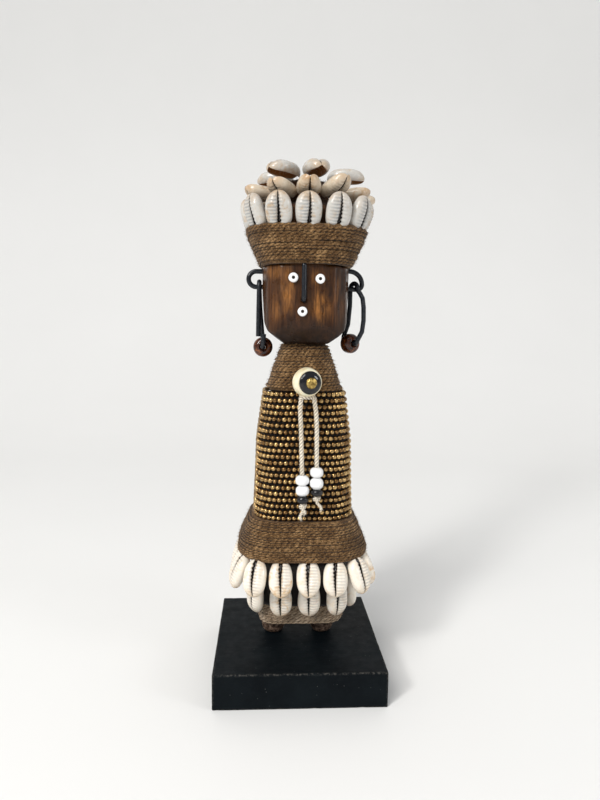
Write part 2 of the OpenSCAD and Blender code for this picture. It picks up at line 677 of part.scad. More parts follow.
plinth();
foot_pins();
carved_figure();
leg_wrap();
skirt_cloth();
skirt_cowries_lower();
skirt_cowries_upper();
hip_wrap();
torso_cloth();
bead_strings(1);  // bead_strings_1
bead_strings(2);  // bead_strings_2
bead_strings(3);  // bead_strings_3
bead_strings(4);  // bead_strings_4
bead_strings(5);  // bead_strings_5
bead_strings(6);  // bead_strings_6
bead_strings(7);  // bead_strings_7
neck_wrap();
head_band();
crown_pad();
crown_cowries_lower();
crown_cowries_middle();
crown_cowries_top();
left_eye_bead();
right_eye_bead();
mouth_bead();
face_pins();
nose_wire();
left_ear_loop();
right_ear_loop();
left_earring_wire();
left_earring_bead();
right_earring_wire();
right_earring_bead();
pendant_bead();
pendant_disc();
pendant_tack();
cord_hitch();
left_cord();
left_white_bead_upper();
left_white_bead_lower();
left_black_bead();
left_knot();
right_cord();
right_white_bead_upper();
right_white_bead_lower();
right_black_bead();
right_knot();
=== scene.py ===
"""Visual model of a carved wooden fertility doll, wrapped in twine, seed beads and cowrie shells."""
import math

import bmesh
import bpy
import numpy as np
from mathutils import Matrix, Vector


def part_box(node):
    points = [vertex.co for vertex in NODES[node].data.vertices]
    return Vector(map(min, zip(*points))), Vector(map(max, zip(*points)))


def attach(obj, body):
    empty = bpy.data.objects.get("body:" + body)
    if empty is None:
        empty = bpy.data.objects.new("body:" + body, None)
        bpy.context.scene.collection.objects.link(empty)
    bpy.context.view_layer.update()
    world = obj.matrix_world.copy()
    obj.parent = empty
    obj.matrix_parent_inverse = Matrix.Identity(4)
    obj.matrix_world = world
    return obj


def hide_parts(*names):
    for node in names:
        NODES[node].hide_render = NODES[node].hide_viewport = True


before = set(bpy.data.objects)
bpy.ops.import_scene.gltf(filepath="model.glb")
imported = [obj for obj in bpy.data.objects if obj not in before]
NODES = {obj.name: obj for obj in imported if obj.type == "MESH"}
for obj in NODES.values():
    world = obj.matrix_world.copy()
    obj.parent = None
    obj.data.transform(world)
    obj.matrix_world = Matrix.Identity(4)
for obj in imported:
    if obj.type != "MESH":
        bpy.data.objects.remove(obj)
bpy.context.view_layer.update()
MM = 0.001
TINY = 1e-9
HAIR = 0.035 * MM  # thickness of a loose cotton or twine hair
rng = np.random.default_rng(20)

# ---------------------------------------------------------------- camera and lamps


def rotation(axis, degrees):
    return np.array(Matrix.Rotation(math.radians(degrees), 3, axis))


def add_object(name, data):
    o = bpy.data.objects.new(name, data)
    bpy.context.scene.collection.objects.link(o)
    return o


def make_camera():
    turn = rotation("Z", -3.31) @ rotation("X", -6.19) @ rotation("Y", -0.86)
    place = np.eye(4)
    place[:3, :3] = np.stack([turn[:, 0], turn[:, 2], -turn[:, 1]], 1)
    place[:3, 3] = (-0.0192, -0.3320, 0.1898)
    data = bpy.data.cameras.new("camera")
    data.sensor_fit, data.sensor_height, data.lens = "VERTICAL", 36, 27.05
    data.clip_start, data.clip_end = 0.01, 30
    cam = add_object("camera", data)
    cam.matrix_world = Matrix(place.tolist())
    bpy.context.scene.camera = cam


def aim(name, data, place, target):
    lamp = add_object(name, data)
    lamp.location = place
    lamp.rotation_euler = (Vector(target) - Vector(place)).to_track_quat("-Z", "Y").to_euler()


def area_light(name, place, target, size, power, colour):
    data = bpy.data.lights.new(name, "AREA")
    data.shape, data.size, data.energy, data.color = "DISK", size, power, colour
    aim(name, data, place, target)


make_camera()

# ---------------------------------------------------------------- numbers to shapes


def lattice(i, j, k, seed):
    n = (i * 374761393 + j * 668265263 + k * 2147483647 + seed * 1274126177) & 0xFFFFFFFF
    n = ((n ^ (n >> 13)) * 1103515245) & 0xFFFFFFFF
    return ((n ^ (n >> 16)) & 0xFFFF) / 32767.5 - 1


def noise3(points, size, seed=0):
    """Smooth noise from -1 to 1 at points, with features of about size."""
    p = np.asarray(points) / size
    base = np.floor(p).astype(np.int64)
    f = p - base
    f = f * f * (3 - 2 * f)
    out = np.zeros(len(p))
    for dx in (0, 1):
        for dy in (0, 1):
            for dz in (0, 1):
                w = (f[:, 0] if dx else 1 - f[:, 0]) * (f[:, 1] if dy else 1 - f[:, 1])
                w = w * (f[:, 2] if dz else 1 - f[:, 2])
                out += w * lattice(base[:, 0] + dx, base[:, 1] + dy, base[:, 2] + dz, seed)
    return out


def noise_vectors(points, size, seed):
    """The same noise, one value for each direction."""
    return np.stack([noise3(points, size, seed + k) for k in range(3)], 1)


def noise_along(s, offset, size, seed):
    """The same noise along a line, at the distances s."""
    return noise3(np.stack([s, s * 0 + offset, s * 0], 1), size, seed)


def unit(v, least=TINY):
    return v / np.maximum(np.linalg.norm(v, axis=-1, keepdims=True), least)


def arc(path):
    """Distance along a path at each of its points."""
    return np.concatenate([[0], np.cumsum(np.linalg.norm(np.diff(path, axis=0), axis=1))])


def ring(n):
    """n even angles around a circle."""
    return np.linspace(0, 2 * math.pi, n, endpoint=False)


def read(items, key, width, kind=np.float32):
    out = np.empty(len(items) * width, kind)
    items.foreach_get(key, out)
    return out.reshape(-1, width)


def set_values(me, name, values):
    me.attributes.new(name, "FLOAT", "POINT").data.foreach_set("value", values.astype(np.float32))


class Shape:
    """Collects vertices, faces and per-vertex values, and makes one mesh object of them."""

    def __init__(self):
        self.v, self.q, self.t, self.a, self.n = [], [], [], [], 0

    def add(self, v, quads=(), tris=(), **values):
        v = np.asarray(v, float).reshape(-1, 3)
        if len(quads):
            self.q.append(np.asarray(quads, np.int64) + self.n)
        if len(tris):
            self.t.append(np.asarray(tris, np.int64) + self.n)
        self.v.append(v)
        self.a.append({k: np.broadcast_to(x, len(v)) for k, x in values.items()})
        self.n += len(v)
        return self

    def make(self, name, body, slot, material, replaces=()):
        v = np.concatenate(self.v)
        parts = self.q + self.t
        loops = np.concatenate([x.ravel() for x in parts])
        sizes = np.concatenate([np.full(len(x), x.shape[1]) for x in parts])
        me = bpy.data.meshes.new(name)
        me.vertices.add(len(v))
        me.vertices.foreach_set("co", v.astype(np.float32).ravel())
        me.loops.add(len(loops))
        me.loops.foreach_set("vertex_index", loops.astype(np.int32))
        me.polygons.add(len(sizes))
        starts = np.concatenate([[0], np.cumsum(sizes)[:-1]])
        me.polygons.foreach_set("loop_start", starts.astype(np.int32))
        me.update(calc_edges=True)
        me.validate()
        for k in sorted({k for a in self.a for k in a}):
            set_values(me, k, np.concatenate([a.get(k, np.zeros(len(p))) for a, p in zip(self.a, self.v)]))
        me.polygons.foreach_set("use_smooth", np.ones(len(sizes), bool))
        return dress(add_object(name, me), body, material, replaces)


def dress(o, body, material, replaces=()):
    o.data.materials.clear()
    o.data.materials.append(material)
    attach(o, body)
    if replaces:
        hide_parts(*replaces)
    return o


def grid_quads(rows, cols, wrap_rows=False, wrap_cols=True):
    i = np.arange(rows if wrap_rows else rows - 1)[:, None]
    j = np.arange(cols if wrap_cols else cols - 1)[None, :]
    i2, j2 = (i + 1) % rows, (j + 1) % cols
    return np.stack([i * cols + j, i * cols + j2, i2 * cols + j2, i2 * cols + j], -1).reshape(-1, 4)


def end_fans(rows, cols):
    """Triangles from the first and last row of a grid to the two points that follow it."""
    k = np.arange(cols)
    first, last = rows * cols, (rows - 1) * cols
    return np.concatenate([np.stack([np.full(cols, first), (k + 1) % cols, k], 1),
                           np.stack([np.full(cols, first + 1), last + k, last + (k + 1) % cols], 1)])


def sweep(path, radius, angles, a, b):
    """Rings around a path, with a radius for each point and angle."""
    c, s = np.cos(angles)[None, :, None], np.sin(angles)[None, :, None]
    return path[:, None] + radius[..., None] * (c * a[:, None] + s * b[:, None])


def frames(path, closed=False):
    """Two normals along a path, without twist."""
    nxt, prv = np.roll(path, -1, 0), np.roll(path, 1, 0)
    if not closed:
        nxt[-1], prv[0] = path[-1], path[0]
    t = nxt - prv
    t /= np.linalg.norm(t, axis=1)[:, None]
    a = np.cross(t[0], [1, 0, 0] if abs(t[0][0]) < 0.8 else [0, 1, 0])
    normals = []
    for u in t:
        a = a - u * (a @ u)
        a /= np.linalg.norm(a)
        normals.append(a)
    a = np.array(normals)
    return a, np.cross(t, a)


def smooth_path(points, step, closed=False):
    """Points at even steps on a smooth curve through the given points."""
    p = np.asarray(points, float)
    n = len(p)
    out = []
    for i in range(n if closed else n - 1):
        p1, p2 = p[i], p[(i + 1) % n]
        p0 = p[i - 1] if (i or closed) else 2 * p1 - p2
        p3 = p[(i + 2) % n] if (closed or i + 2 < n) else 2 * p2 - p1
        for t in np.linspace(0, 1, 24, endpoint=False):
            out.append(0.5 * (2 * p1 + (p2 - p0) * t + (2 * p0 - 5 * p1 + 4 * p2 - p3) * t * t
                              + (3 * p1 - p0 - 3 * p2 + p3) * t ** 3))
    out.append(p[0] if closed else p[-1])
    out = np.array(out)
    d = arc(out)
    m = max(3, int(round(d[-1] / step)) + 1)
    out = at_lengths(out, d, np.linspace(0, d[-1], m))
    return out[:-1] if closed else out


def tube(path, radius, sides=12, closed=False, plies=0, pitch=4 * MM, groove=0.3, taper=0.0):
    """Tube along a path. With plies it is a twisted cord: lobes that turn once in each pitch.

    Its last value is how deep each vertex lies between the lobes, from 0 to 1, by which the twine materials
    paint shade.
    """
    path = np.asarray(path, float)
    n = len(path)
    a, b = frames(path, closed)
    radius = np.broadcast_to(radius, n).astype(float).copy()
    if taper and not closed:
        s = arc(path)
        edge = np.clip(np.minimum(s, s[-1] - s) / taper, 0, 1)
        radius *= np.sqrt(1 - (1 - edge) ** 2) * 0.98 + 0.02
    th = ring(sides)
    s = np.arange(n) * np.linalg.norm(path[1] - path[0])
    total = s[-1] + (np.linalg.norm(path[0] - path[-1]) if closed else 0)
    turns = total / pitch
    if closed:
        turns = max(1, round(turns * max(plies, 1))) / max(plies, 1)
    phase = 2 * math.pi * turns * s / total
    lobe = np.ones((n, sides))
    if plies:
        lobe = np.abs(np.cos(plies * (th[None] - phase[:, None]) / 2))
    r = radius[:, None] * ((1 - groove) + groove * lobe if plies else 1)
    v = sweep(path, r, th, a, b).reshape(-1, 3)
    deep = 1 - lobe.ravel()
    quads = grid_quads(n, sides, wrap_rows=closed)
    if closed:
        return v, quads, [], deep
    v = np.concatenate([v, path[:1], path[-1:]])
    return v, quads, end_fans(n, sides), np.concatenate([deep, [0, 0]])


def lathe(profile, segments=40):
    """Solid of revolution about Z from a closed ring of [radius, z] pairs."""
    p = np.asarray(profile, float)
    th, r = ring(segments), p[:, 0, None]
    v = np.stack([r * np.cos(th), r * np.sin(th), np.repeat(p[:, 1, None], segments, 1)], -1)
    return v.reshape(-1, 3), grid_quads(len(p), segments, wrap_rows=True)


def rounded_profile(outer, bore, length, edge, steps=8):
    """Ring profile of a bead: a round outside, and a bore with softened rims."""
    rim = [(bore, length * 0.12), (bore + 0.04 * length, 0.02 * length), (bore + 0.1 * length, 0)]
    for k in range(steps + 1):
        a = math.pi / 2 * k / steps
        rim.append((outer - edge + edge * math.sin(a), edge - edge * math.cos(a)))
    return rim + [(r, length - z) for r, z in rim[::-1]]


def axes_from(z, x_hint=(1, 0, 0)):
    """Columns x, y and z of a frame, with z along z and x as near x_hint as it can be."""
    z, x = unit(np.asarray(z, float)), np.asarray(x_hint, float)
    x = unit(x - z * (x @ z))
    return np.stack([x, np.cross(z, x), z], 1)


def fibres(shape, base, out, count, length, w, spread, **values):
    """Loose hairs: three-sided spikes of width w that stand off the surface points base along out."""
    pick = rng.integers(0, len(base), count)
    o = base[pick]
    d = unit(out[pick] + spread * rng.normal(size=(count, 3)))
    tip = o + d * (length * rng.uniform(0.35, 1, count))[:, None]
    bend = rng.normal(size=(count, 3)) * length * 0.18
    side = unit(np.cross(d, rng.normal(size=(count, 3))))
    up = np.cross(d, side)
    mid = (o + tip) / 2 + bend
    v = np.stack([o + side * w, o - side * w * 0.5 + up * w * 0.87, o - side * w * 0.5 - up * w * 0.87,
                  mid + side * w * 0.7, mid - side * w * 0.35 + up * w * 0.6,
                  mid - side * w * 0.35 - up * w * 0.6, tip], 1)
    i = np.arange(count)[:, None] * 7
    quads = np.concatenate([i + np.array([[a, b, b + 3, a + 3]]) for a, b in ((0, 1), (1, 2), (2, 0))])
    tris = np.concatenate([i + np.array([f]) for f in ((0, 2, 1), (3, 4, 6), (4, 5, 6), (5, 3, 6))])
    shape.add(v.reshape(-1, 3), quads, tris, **values)


# ---------------------------------------------------------------- what the CAD nodes give


STEPS_PER_M = 2e5  # vertices within 0.005 mm of each other are one


def node_mesh(node):
    """Merged vertices and triangles of a CAD node."""
    me = NODES[node].data
    me.calc_loop_triangles()
    tri = read(me.loop_triangles, "vertices", 3, np.int32)
    steps = np.round(read(me.vertices, "co", 3).astype(float) * STEPS_PER_M).astype(np.int64)
    key, inverse = np.unique(steps, axis=0, return_inverse=True)
    return key / STEPS_PER_M, inverse.ravel()[tri]


def split_by(label):
    """Indices of each group of equal labels, lowest label first."""
    order = np.argsort(label, kind="stable")
    return np.split(order, np.nonzero(np.diff(label[order]))[0] + 1)


def islands(node):
    """The separate solids of a node, each as (vertices, triangles)."""
    v, tri = node_mesh(node)
    label = np.arange(len(v))
    edges = np.concatenate([tri[:, :2], tri[:, 1:], tri[:, ::2]])
    while True:
        low = np.minimum(label[edges[:, 0]], label[edges[:, 1]])
        new = label.copy()
        np.minimum.at(new, edges[:, 0], low)
        np.minimum.at(new, edges[:, 1], low)
        new = new[new]
        if (new == label).all():
            break
        label = new
    where = np.empty(len(v), np.int64)
    out = []
    for g, t in zip(split_by(label), split_by(label[tri[:, 0]])):
        where[g] = np.arange(len(g))
        out.append((v[g], where[tri[t]]))
    return out


def box(node):
    lo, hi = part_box(node)
    return np.array(lo), np.array(hi), np.array((lo + hi) / 2)


AXIS = box("hip_wrap")[2][:2]  # the upright line that the wrappings go around


def sizes_of(node):
    """Outer [height, half width, half depth] of a wrapped node, low to high."""
    v, _ = node_mesh(node)
    level = np.round(v[:, 2], 4)
    rows = []
    for z in np.unique(level):
        near = v[level == z]
        rows.append((z, np.abs(near[:, 0] - AXIS[0]).max(), np.abs(near[:, 1] - AXIS[1]).max()))
    return np.array(rows)


def at_lengths(points, s, u):
    """Points at the lengths u along a line whose points lie at the lengths s."""
    return np.stack([np.interp(u, s, x) for x in points.T], 1)


def rounded_outline(w, d, m, corner=0.34):
    """m points at even steps on rounded rectangles with half sizes w and d, from the front's middle."""
    r = corner * 2 * min(w, d)
    pts = []
    for k, (cx, cy) in enumerate([(1, -1), (1, 1), (-1, 1), (-1, -1)]):
        for a in np.linspace(-90 + 90 * k, 90 * k, 10):
            t = math.radians(a)
            pts.append((cx * (w - r) + r * math.cos(t), cy * (d - r) + r * math.sin(t)))
    pts = [(0, -d)] + pts + [(0, -d)]
    p = np.array(pts)
    s = arc(p)
    return at_lengths(p, s, np.linspace(0, s[-1], m, endpoint=False))


# ---------------------------------------------------------------- materials


class Mat:
    """A node material: short names for the nodes that the materials below share."""

    def __init__(self, name, roughness=0.5, **sockets):
        self.m = bpy.data.materials.new(name)
        self.m.use_nodes = True
        self.nodes, self.links = self.m.node_tree.nodes, self.m.node_tree.links
        self.shader = self.nodes["Principled BSDF"]
        self.set("Roughness", roughness)
        for k, x in sockets.items():
            self.set(k.replace("_", " "), x)
        self.coords = self.nodes.new("ShaderNodeTexCoord").outputs["Object"]

    def set(self, socket, value):
        self.plug(self.shader.inputs[socket], value)
        return self

    def plug(self, socket, value):
        if isinstance(value, bpy.types.NodeSocket):
            self.links.new(value, socket)
        elif socket.type == "RGBA" and len(value) == 3:
            socket.default_value = (*value, 1)
        else:
            socket.default_value = value

    def node(self, kind, out, inputs, **settings):
        """One output of a new node, with its settings made and its inputs plugged."""
        n = self.nodes.new("ShaderNode" + kind)
        for k, x in settings.items():
            setattr(n, k, x)
        for k, x in inputs.items():
            self.plug(n.inputs[k], x)
        return n.outputs[out]

    def stretch(self, scale):
        return self.node("Mapping", 0, {"Vector": self.coords, "Scale": scale})

    def noise(self, size, detail=3, rough=0.5, vector=None, distort=0.0):
        return self.node("TexNoise", "Fac", {"Vector": vector or self.coords, "Scale": 1 / size,
                                             "Detail": detail, "Roughness": rough, "Distortion": distort})

    def cells(self, size):
        return self.node("TexVoronoi", "Distance", {"Vector": self.coords, "Scale": 1 / size})

    def value(self, name):
        return self.node("Attribute", "Fac", {}, attribute_name=name)

    def ramp(self, fac, *stops):
        n = self.nodes.new("ShaderNodeValToRGB")
        self.plug(n.inputs[0], fac)
        while len(n.color_ramp.elements) < len(stops):
            n.color_ramp.elements.new(0.5)
        for e, (at, colour) in zip(n.color_ramp.elements, stops):
            e.position, e.color = at, (*colour, 1)
        return n.outputs["Color"]

    def mix(self, fac, a, b):
        return self.node("Mix", 2, {0: fac, 6: a, 7: b}, data_type="RGBA")

    def times(self, a, b):
        return self.node("Math", 0, {0: a, 1: b}, operation="MULTIPLY")

    def span(self, fac, low, high, a=0.0, b=1.0):
        """fac from low..high to a..b, held at the ends."""
        return self.node("MapRange", 0, dict(enumerate((fac, low, high, a, b))))

    def height(self):
        return self.node("SeparateXYZ", "Z", {0: self.coords})

    def bump(self, height, distance, strength=1.0, under=None):
        inputs = {"Distance": distance, "Strength": strength, "Height": height}
        if under is not None:
            inputs["Normal"] = under
        out = self.node("Bump", 0, inputs)
        self.set("Normal", out)
        return out


def darker(colour, share):
    return tuple(share * x for x in colour)


# Heights in metres between which the painted shade under the chin fades out upwards, and between which the
# feet's bare wood begins
CHIN_SHADE = (0.186, 0.199)
BARE_FEET = (0.030, 0.026)


def wood_material():
    m = Mat("carved_wood")
    grain = m.stretch((1, 1, 0.06))
    streak = m.noise(1.0 * MM, 5, 0.65, grain, 0.4)
    band = m.noise(6 * MM, 3, 0.55, m.stretch((1, 1, 0.22)), 0.6)
    base = m.ramp(band, (0.3, (0.008, 0.003, 0.0015)), (0.52, (0.036, 0.013, 0.005)),
                  (0.72, (0.095, 0.036, 0.012)))
    patch = m.span(m.noise(4 * MM, 4, 0.6, m.stretch((1, 1, 0.3)), 0.4), 0.36, 0.6)
    base = m.mix(m.times(m.value("worn"), patch), base, (0.33, 0.135, 0.035))
    base = m.mix(m.span(streak, 0.45, 0.64, 0.0, 0.8), base, (0.018, 0.007, 0.003))
    fine = m.noise(0.5 * MM, 3, 0.6, grain)
    base = m.mix(m.span(fine, 0.55, 0.75, 0, 0.4), base, (0.014, 0.007, 0.005))
    # painted shade under the chin: the wood from these heights down is painted near black
    base = m.mix(m.span(m.height(), *CHIN_SHADE, 0.9, 0.0), base, (0.006, 0.003, 0.002))
    bare = m.ramp(m.noise(1.5 * MM, 4, 0.7), (0.4, (0.030, 0.018, 0.012)), (0.5, (0.105, 0.066, 0.046)),
                  (0.64, (0.22, 0.155, 0.115)))
    base = m.mix(m.span(m.height(), *BARE_FEET), base, bare)
    m.set("Base Color", base)
    m.set("Roughness", m.span(m.noise(4 * MM, 3), 0.35, 0.7, 0.26, 0.5))
    m.set("Specular IOR Level", 0.2).set("Coat Weight", 0.06).set("Coat Roughness", 0.2)
    knife = m.bump(m.noise(5 * MM, 2, 0.4, m.stretch((1, 1, 0.35))), 0.5 * MM, 0.5)
    m.bump(streak, 0.14 * MM, 0.6, knife)
    return m.m


def twine_material(name, dark, mid, light):
    m = Mat(name, 0.95)
    big = m.noise(7 * MM, 4, 0.65)
    small = m.noise(0.9 * MM, 4, 0.75)
    base = m.ramp(m.mix(0.55, big, small), (0.36, dark), (0.5, mid), (0.62, light))
    hair = m.noise(0.45 * MM, 4, 0.8, m.stretch((1, 1, 1.6)), 0.8)
    base = m.mix(m.span(hair, 0.54, 0.68, 0, 0.75), base, tuple(min(1, 1.5 * x) for x in light))
    base = m.mix(m.span(hair, 0.46, 0.34, 0, 0.7), base, darker(dark, 0.6))
    # painted shade: darker where the deep value is high, in the grooves between plies and turns and on the
    # lining behind
    base = m.mix(m.span(m.value("deep"), 0.25, 0.85, 0, 0.92), base, darker(dark, 0.3))
    m.set("Base Color", base)
    m.set("Sheen Weight", 0.12).set("Sheen Roughness", 0.5).set("Specular IOR Level", 0.12)
    m.bump(m.noise(0.35 * MM, 3, 0.7), 0.2 * MM, 1.0)
    return m.m


def cloth_material(name, colour):
    m = Mat(name, 0.95)
    weave = m.noise(0.45 * MM, 2, 0.5, m.stretch((1, 1, 2.5)))
    base = m.ramp(weave, (0.35, darker(colour, 0.45)), (0.65, colour))
    m.set("Base Color", base).set("Sheen Weight", 0.2)
    m.bump(weave, 0.15 * MM, 0.8)
    return m.m


def shell_material(name, pale, stain, grey, amount):
    m = Mat(name, 0.25)
    soft = m.noise(6 * MM, 3, 0.5)
    tint = m.value("tint")
    base = m.mix(m.span(soft, 0.35, 0.65), pale, darker(pale, 0.93))
    blotch = m.span(m.noise(4 * MM, 4, 0.6, None, 0.6), 0.5, 0.68)
    base = m.mix(m.times(blotch, m.span(tint, 0, 1, 0.1, amount)), base, stain)
    # painted shade in the grooves between the shell's teeth, in a grey darker than the shell
    base = m.mix(m.times(m.value("ridge"), 0.75), base, grey)
    base = m.mix(m.times(m.value("end"), m.span(tint, 0, 1, 0.15, 0.75)), base, stain)
    # painted shade: the walls of the mouth painted near black
    base = m.mix(m.value("slit"), base, (0.012, 0.007, 0.005))
    base = m.mix(m.value("inner"), base, (0.27, 0.125, 0.045))
    m.set("Base Color", base)
    m.set("Roughness", m.span(m.noise(2 * MM, 3), 0.3, 0.7, 0.16, 0.34))
    m.set("Subsurface Weight", 0.08).set("Subsurface Scale", 0.5)
    m.set("Subsurface Radius", (0.003, 0.002, 0.0015))
    m.set("Coat Weight", 0.2).set("Coat Roughness", 0.12)
    m.bump(m.noise(1.5 * MM, 3, 0.5), 0.08 * MM, 0.35)
    return m.m


def bead_material(name, dark, light, metallic, roughness, coat=0.0, specular=0.5):
    m = Mat(name, roughness, Metallic=metallic)
    m.set("Specular IOR Level", specular)
    tone = m.mix(0.5, m.value("tint"), m.noise(0.9 * MM, 3, 0.6))
    m.set("Base Color", m.ramp(tone, (0.25, dark), (0.75, light)))
    m.set("Roughness", m.span(m.noise(0.6 * MM, 2), 0.3, 0.7, roughness * 0.75, roughness * 1.3))
    m.set("Coat Weight", coat).set("Coat Roughness", 0.06)
    m.bump(m.noise(0.8 * MM, 2, 0.5), 0.05 * MM, 0.4)
    return m.m


def wire_material():
    m = Mat("black_wire", 0.25)
    worn = m.span(m.noise(1.6 * MM, 4, 0.65), 0.64, 0.72)
    m.set("Base Color", m.mix(worn, (0.010, 0.012, 0.016), (0.045, 0.043, 0.042)))
    m.set("Roughness", m.span(m.noise(2.2 * MM, 3), 0.3, 0.7, 0.18, 0.4))
    m.set("Specular IOR Level", 0.28).set("Coat Weight", 0.12).set("Coat Roughness", 0.1)
    m.bump(m.noise(1.6 * MM, 3, 0.5), 0.08 * MM, 0.25)
    return m.m


def amber_material():
    m = Mat("amber_bead", 0.16)
    cloud = m.noise(3.2 * MM, 4, 0.6, None, 1.2)
    base = m.ramp(cloud, (0.36, (0.012, 0.003, 0.002)), (0.54, (0.060, 0.014, 0.005)),
                  (0.72, (0.24, 0.075, 0.015)))
    m.set("Base Color", base)
    m.set("Specular IOR Level", 0.3).set("Coat Weight", 0.35).set("Coat Roughness", 0.05)
    m.set("Subsurface Weight", 0.12).set("Subsurface Radius", (0.004, 0.0012, 0.0004))
    m.bump(m.noise(2.4 * MM, 2, 0.5), 0.1 * MM, 0.25)
    return m.m


def bone_material():
    m = Mat("bone", 0.28)
    grain = m.noise(0.7 * MM, 4, 0.6, m.stretch((1, 1, 0.25)))
    base = m.mix(m.span(m.noise(5 * MM, 3, 0.5), 0.4, 0.7), (0.90, 0.82, 0.60), (0.74, 0.60, 0.36))
    base = m.mix(m.span(grain, 0.58, 0.72, 0, 0.4), base, (0.42, 0.28, 0.13))
    m.set("Base Color", base)
    m.set("Subsurface Weight", 0.06).set("Coat Weight", 0.3).set("Coat Roughness", 0.15)
    m.bump(grain, 0.05 * MM, 0.5)
    return m.m


def brass_material():
    m = Mat("brass_tack", 0.32, Metallic=1.0)
    tone = m.noise(1.6 * MM, 4, 0.6)
    m.set("Base Color", m.ramp(tone, (0.35, (0.16, 0.10, 0.03)), (0.6, (0.62, 0.44, 0.14))))
    m.set("Roughness", m.span(m.noise(0.8 * MM, 3), 0.3, 0.7, 0.25, 0.5))
    m.bump(m.cells(1.3 * MM), 0.35 * MM, 0.6)
    return m.m


def paint_material():
    m = Mat("black_paint", 0.5)
    grain = m.noise(0.8 * MM, 4, 0.65, m.stretch((0.05, 1, 1)))
    base = m.ramp(m.noise(14 * MM, 4, 0.6), (0.35, (0.0020, 0.0036, 0.0050)),
                  (0.68, (0.0042, 0.0068, 0.0086)))
    dust = m.span(m.cells(2.6 * MM), 0.055, 0.10, 0.55, 0.0)
    dust = m.times(dust, m.span(m.noise(6 * MM, 2), 0.45, 0.6))
    base = m.mix(dust, base, (0.14, 0.15, 0.14))
    # lighter in patches along the edges: rubbed paint and a painted edge highlight
    rubbed_and_lit_edge = m.times(m.value("edge"), m.span(m.noise(1.4 * MM, 4, 0.7), 0.46, 0.6))
    base = m.mix(rubbed_and_lit_edge, base, (0.085, 0.080, 0.072))
    m.set("Base Color", base).set("Specular IOR Level", 0.07)
    m.set("Roughness", m.span(m.noise(5 * MM, 4, 0.6), 0.3, 0.7, 0.42, 0.62))
    rough = m.bump(m.noise(0.9 * MM, 4, 0.6), 0.08 * MM, 0.5)
    m.bump(grain, 0.10 * MM, 0.6, rough)
    return m.m


def plain_material(name, a, b, roughness, size=0.7 * MM, bump=0.06 * MM, **sockets):
    m = Mat(name, roughness, **sockets)
    m.set("Base Color", m.ramp(m.noise(size, 4, 0.6), (0.35, a), (0.65, b)))
    m.bump(m.noise(size * 0.6, 3, 0.6), bump, 0.6)
    return m.m


WOOD = wood_material()
TWINE = twine_material("brown_twine", (0.034, 0.015, 0.005), (0.135, 0.070, 0.027), (0.42, 0.255, 0.115))
PALE_TWINE = twine_material("pale_twine", (0.19, 0.125, 0.075), (0.36, 0.265, 0.175), (0.58, 0.47, 0.35))
FIBRE = twine_material("fibre_pad", (0.012, 0.006, 0.003), (0.055, 0.024, 0.011), (0.15, 0.07, 0.03))
CLOTH = cloth_material("black_cloth", (0.016, 0.011, 0.009))
THREAD = cloth_material("bead_thread", (0.030, 0.018, 0.010))
# the crown's cowrie colour: the skirt's shell colour painted darker and bluer as shade
SHADED_CROWN_SHELL = shell_material("shaded_crown_shell", (0.58, 0.56, 0.52), (0.46, 0.30, 0.15), (0.16, 0.17, 0.19), 0.8)
TAN_SHELL = shell_material("tan_shell", (0.68, 0.58, 0.45), (0.42, 0.24, 0.10), (0.30, 0.24, 0.18), 0.9)
SKIRT_SHELL = shell_material("skirt_shell", (0.90, 0.83, 0.72), (0.66, 0.40, 0.15), (0.34, 0.31, 0.29), 0.85)
BRONZE = bead_material("bronze_bead", (0.17, 0.090, 0.034), (0.60, 0.41, 0.18), 1.0, 0.23)
WHITE_GLASS = bead_material("white_glass", (0.80, 0.81, 0.81), (0.92, 0.92, 0.92), 0.0, 0.12, 0.4)
BLACK_GLASS = bead_material("black_glass", (0.004, 0.004, 0.005), (0.010, 0.010, 0.012), 0.0, 0.12, 0.2, 0.35)
WIRE = wire_material()
AMBER = amber_material()
BONE = bone_material()
DISC = bead_material("black_disc", (0.004, 0.004, 0.006), (0.008, 0.008, 0.011), 0.0, 0.08, 0.3, 0.35)
BRASS = brass_material()
PAINT = paint_material()
IRON = plain_material("dark_pin", (0.012, 0.009, 0.008), (0.05, 0.035, 0.025), 0.5, Metallic=0.6)
STEEL = plain_material("steel_pin", (0.35, 0.36, 0.38), (0.50, 0.51, 0.53), 0.35, Metallic=1.0)
COTTON = twine_material("cotton_cord", (0.62, 0.53, 0.41), (0.82, 0.73, 0.59), (0.93, 0.87, 0.76))

# ---------------------------------------------------------------- cords, first

# Each strand's route, as the CAD has it, in millimetres, and its diameter
ROUTES = {
    "left": [[-0.9, -23, 156.3], [-1.1, -23.1, 150], [-0.6, -23.8, 141], [-0.3, -24.4, 132], [0, -25, 123],
             [0.3, -25.6, 114], [0.6, -26.2, 105], [0.7, -26.4, 102.5]],
    "right": [[6.1, -23, 156.3], [7.1, -23.1, 150], [7.6, -23.7, 141], [7.7, -24.3, 132], [7.8, -24.9, 123],
              [7.9, -25.5, 114], [8, -26, 106.5]],
}
CORD_D = 2.4 * MM
# Cut tails under each knot, as offsets from the knot, in millimetres
TAILS = {"left": [[-1.2, -0.6, -7.2], [1, -0.8, -4]], "right": [[2.4, -0.8, -6.2]]}


def add_cord(shape, path, radius, sides, closed, pitch, groove, hairs, hair_length):
    """Adds three-ply cord along a path, with loose hairs."""
    v, q, t, deep = tube(path, radius, sides, closed, 3, pitch, groove)
    shape.add(v, q, t, deep=deep)
    near = path[np.linalg.norm(v[:, None] - path[None, ::6], axis=2).argmin(1) * 6]
    fibres(shape, v, unit(v - near), hairs, hair_length, HAIR, 0.8, deep=0)


def make_strand(side):
    path = smooth_path(np.array(ROUTES[side]) * MM, 0.32 * MM)
    shape = Shape()
    add_cord(shape, path, CORD_D / 2, 21, False, 5.4 * MM, 0.34, 260, 1.3 * MM)
    cord = shape.make(f"{side}_cotton_strand", f"{side}_strand", "cotton_cord", COTTON, [f"{side}_cord"])
    return cord, path


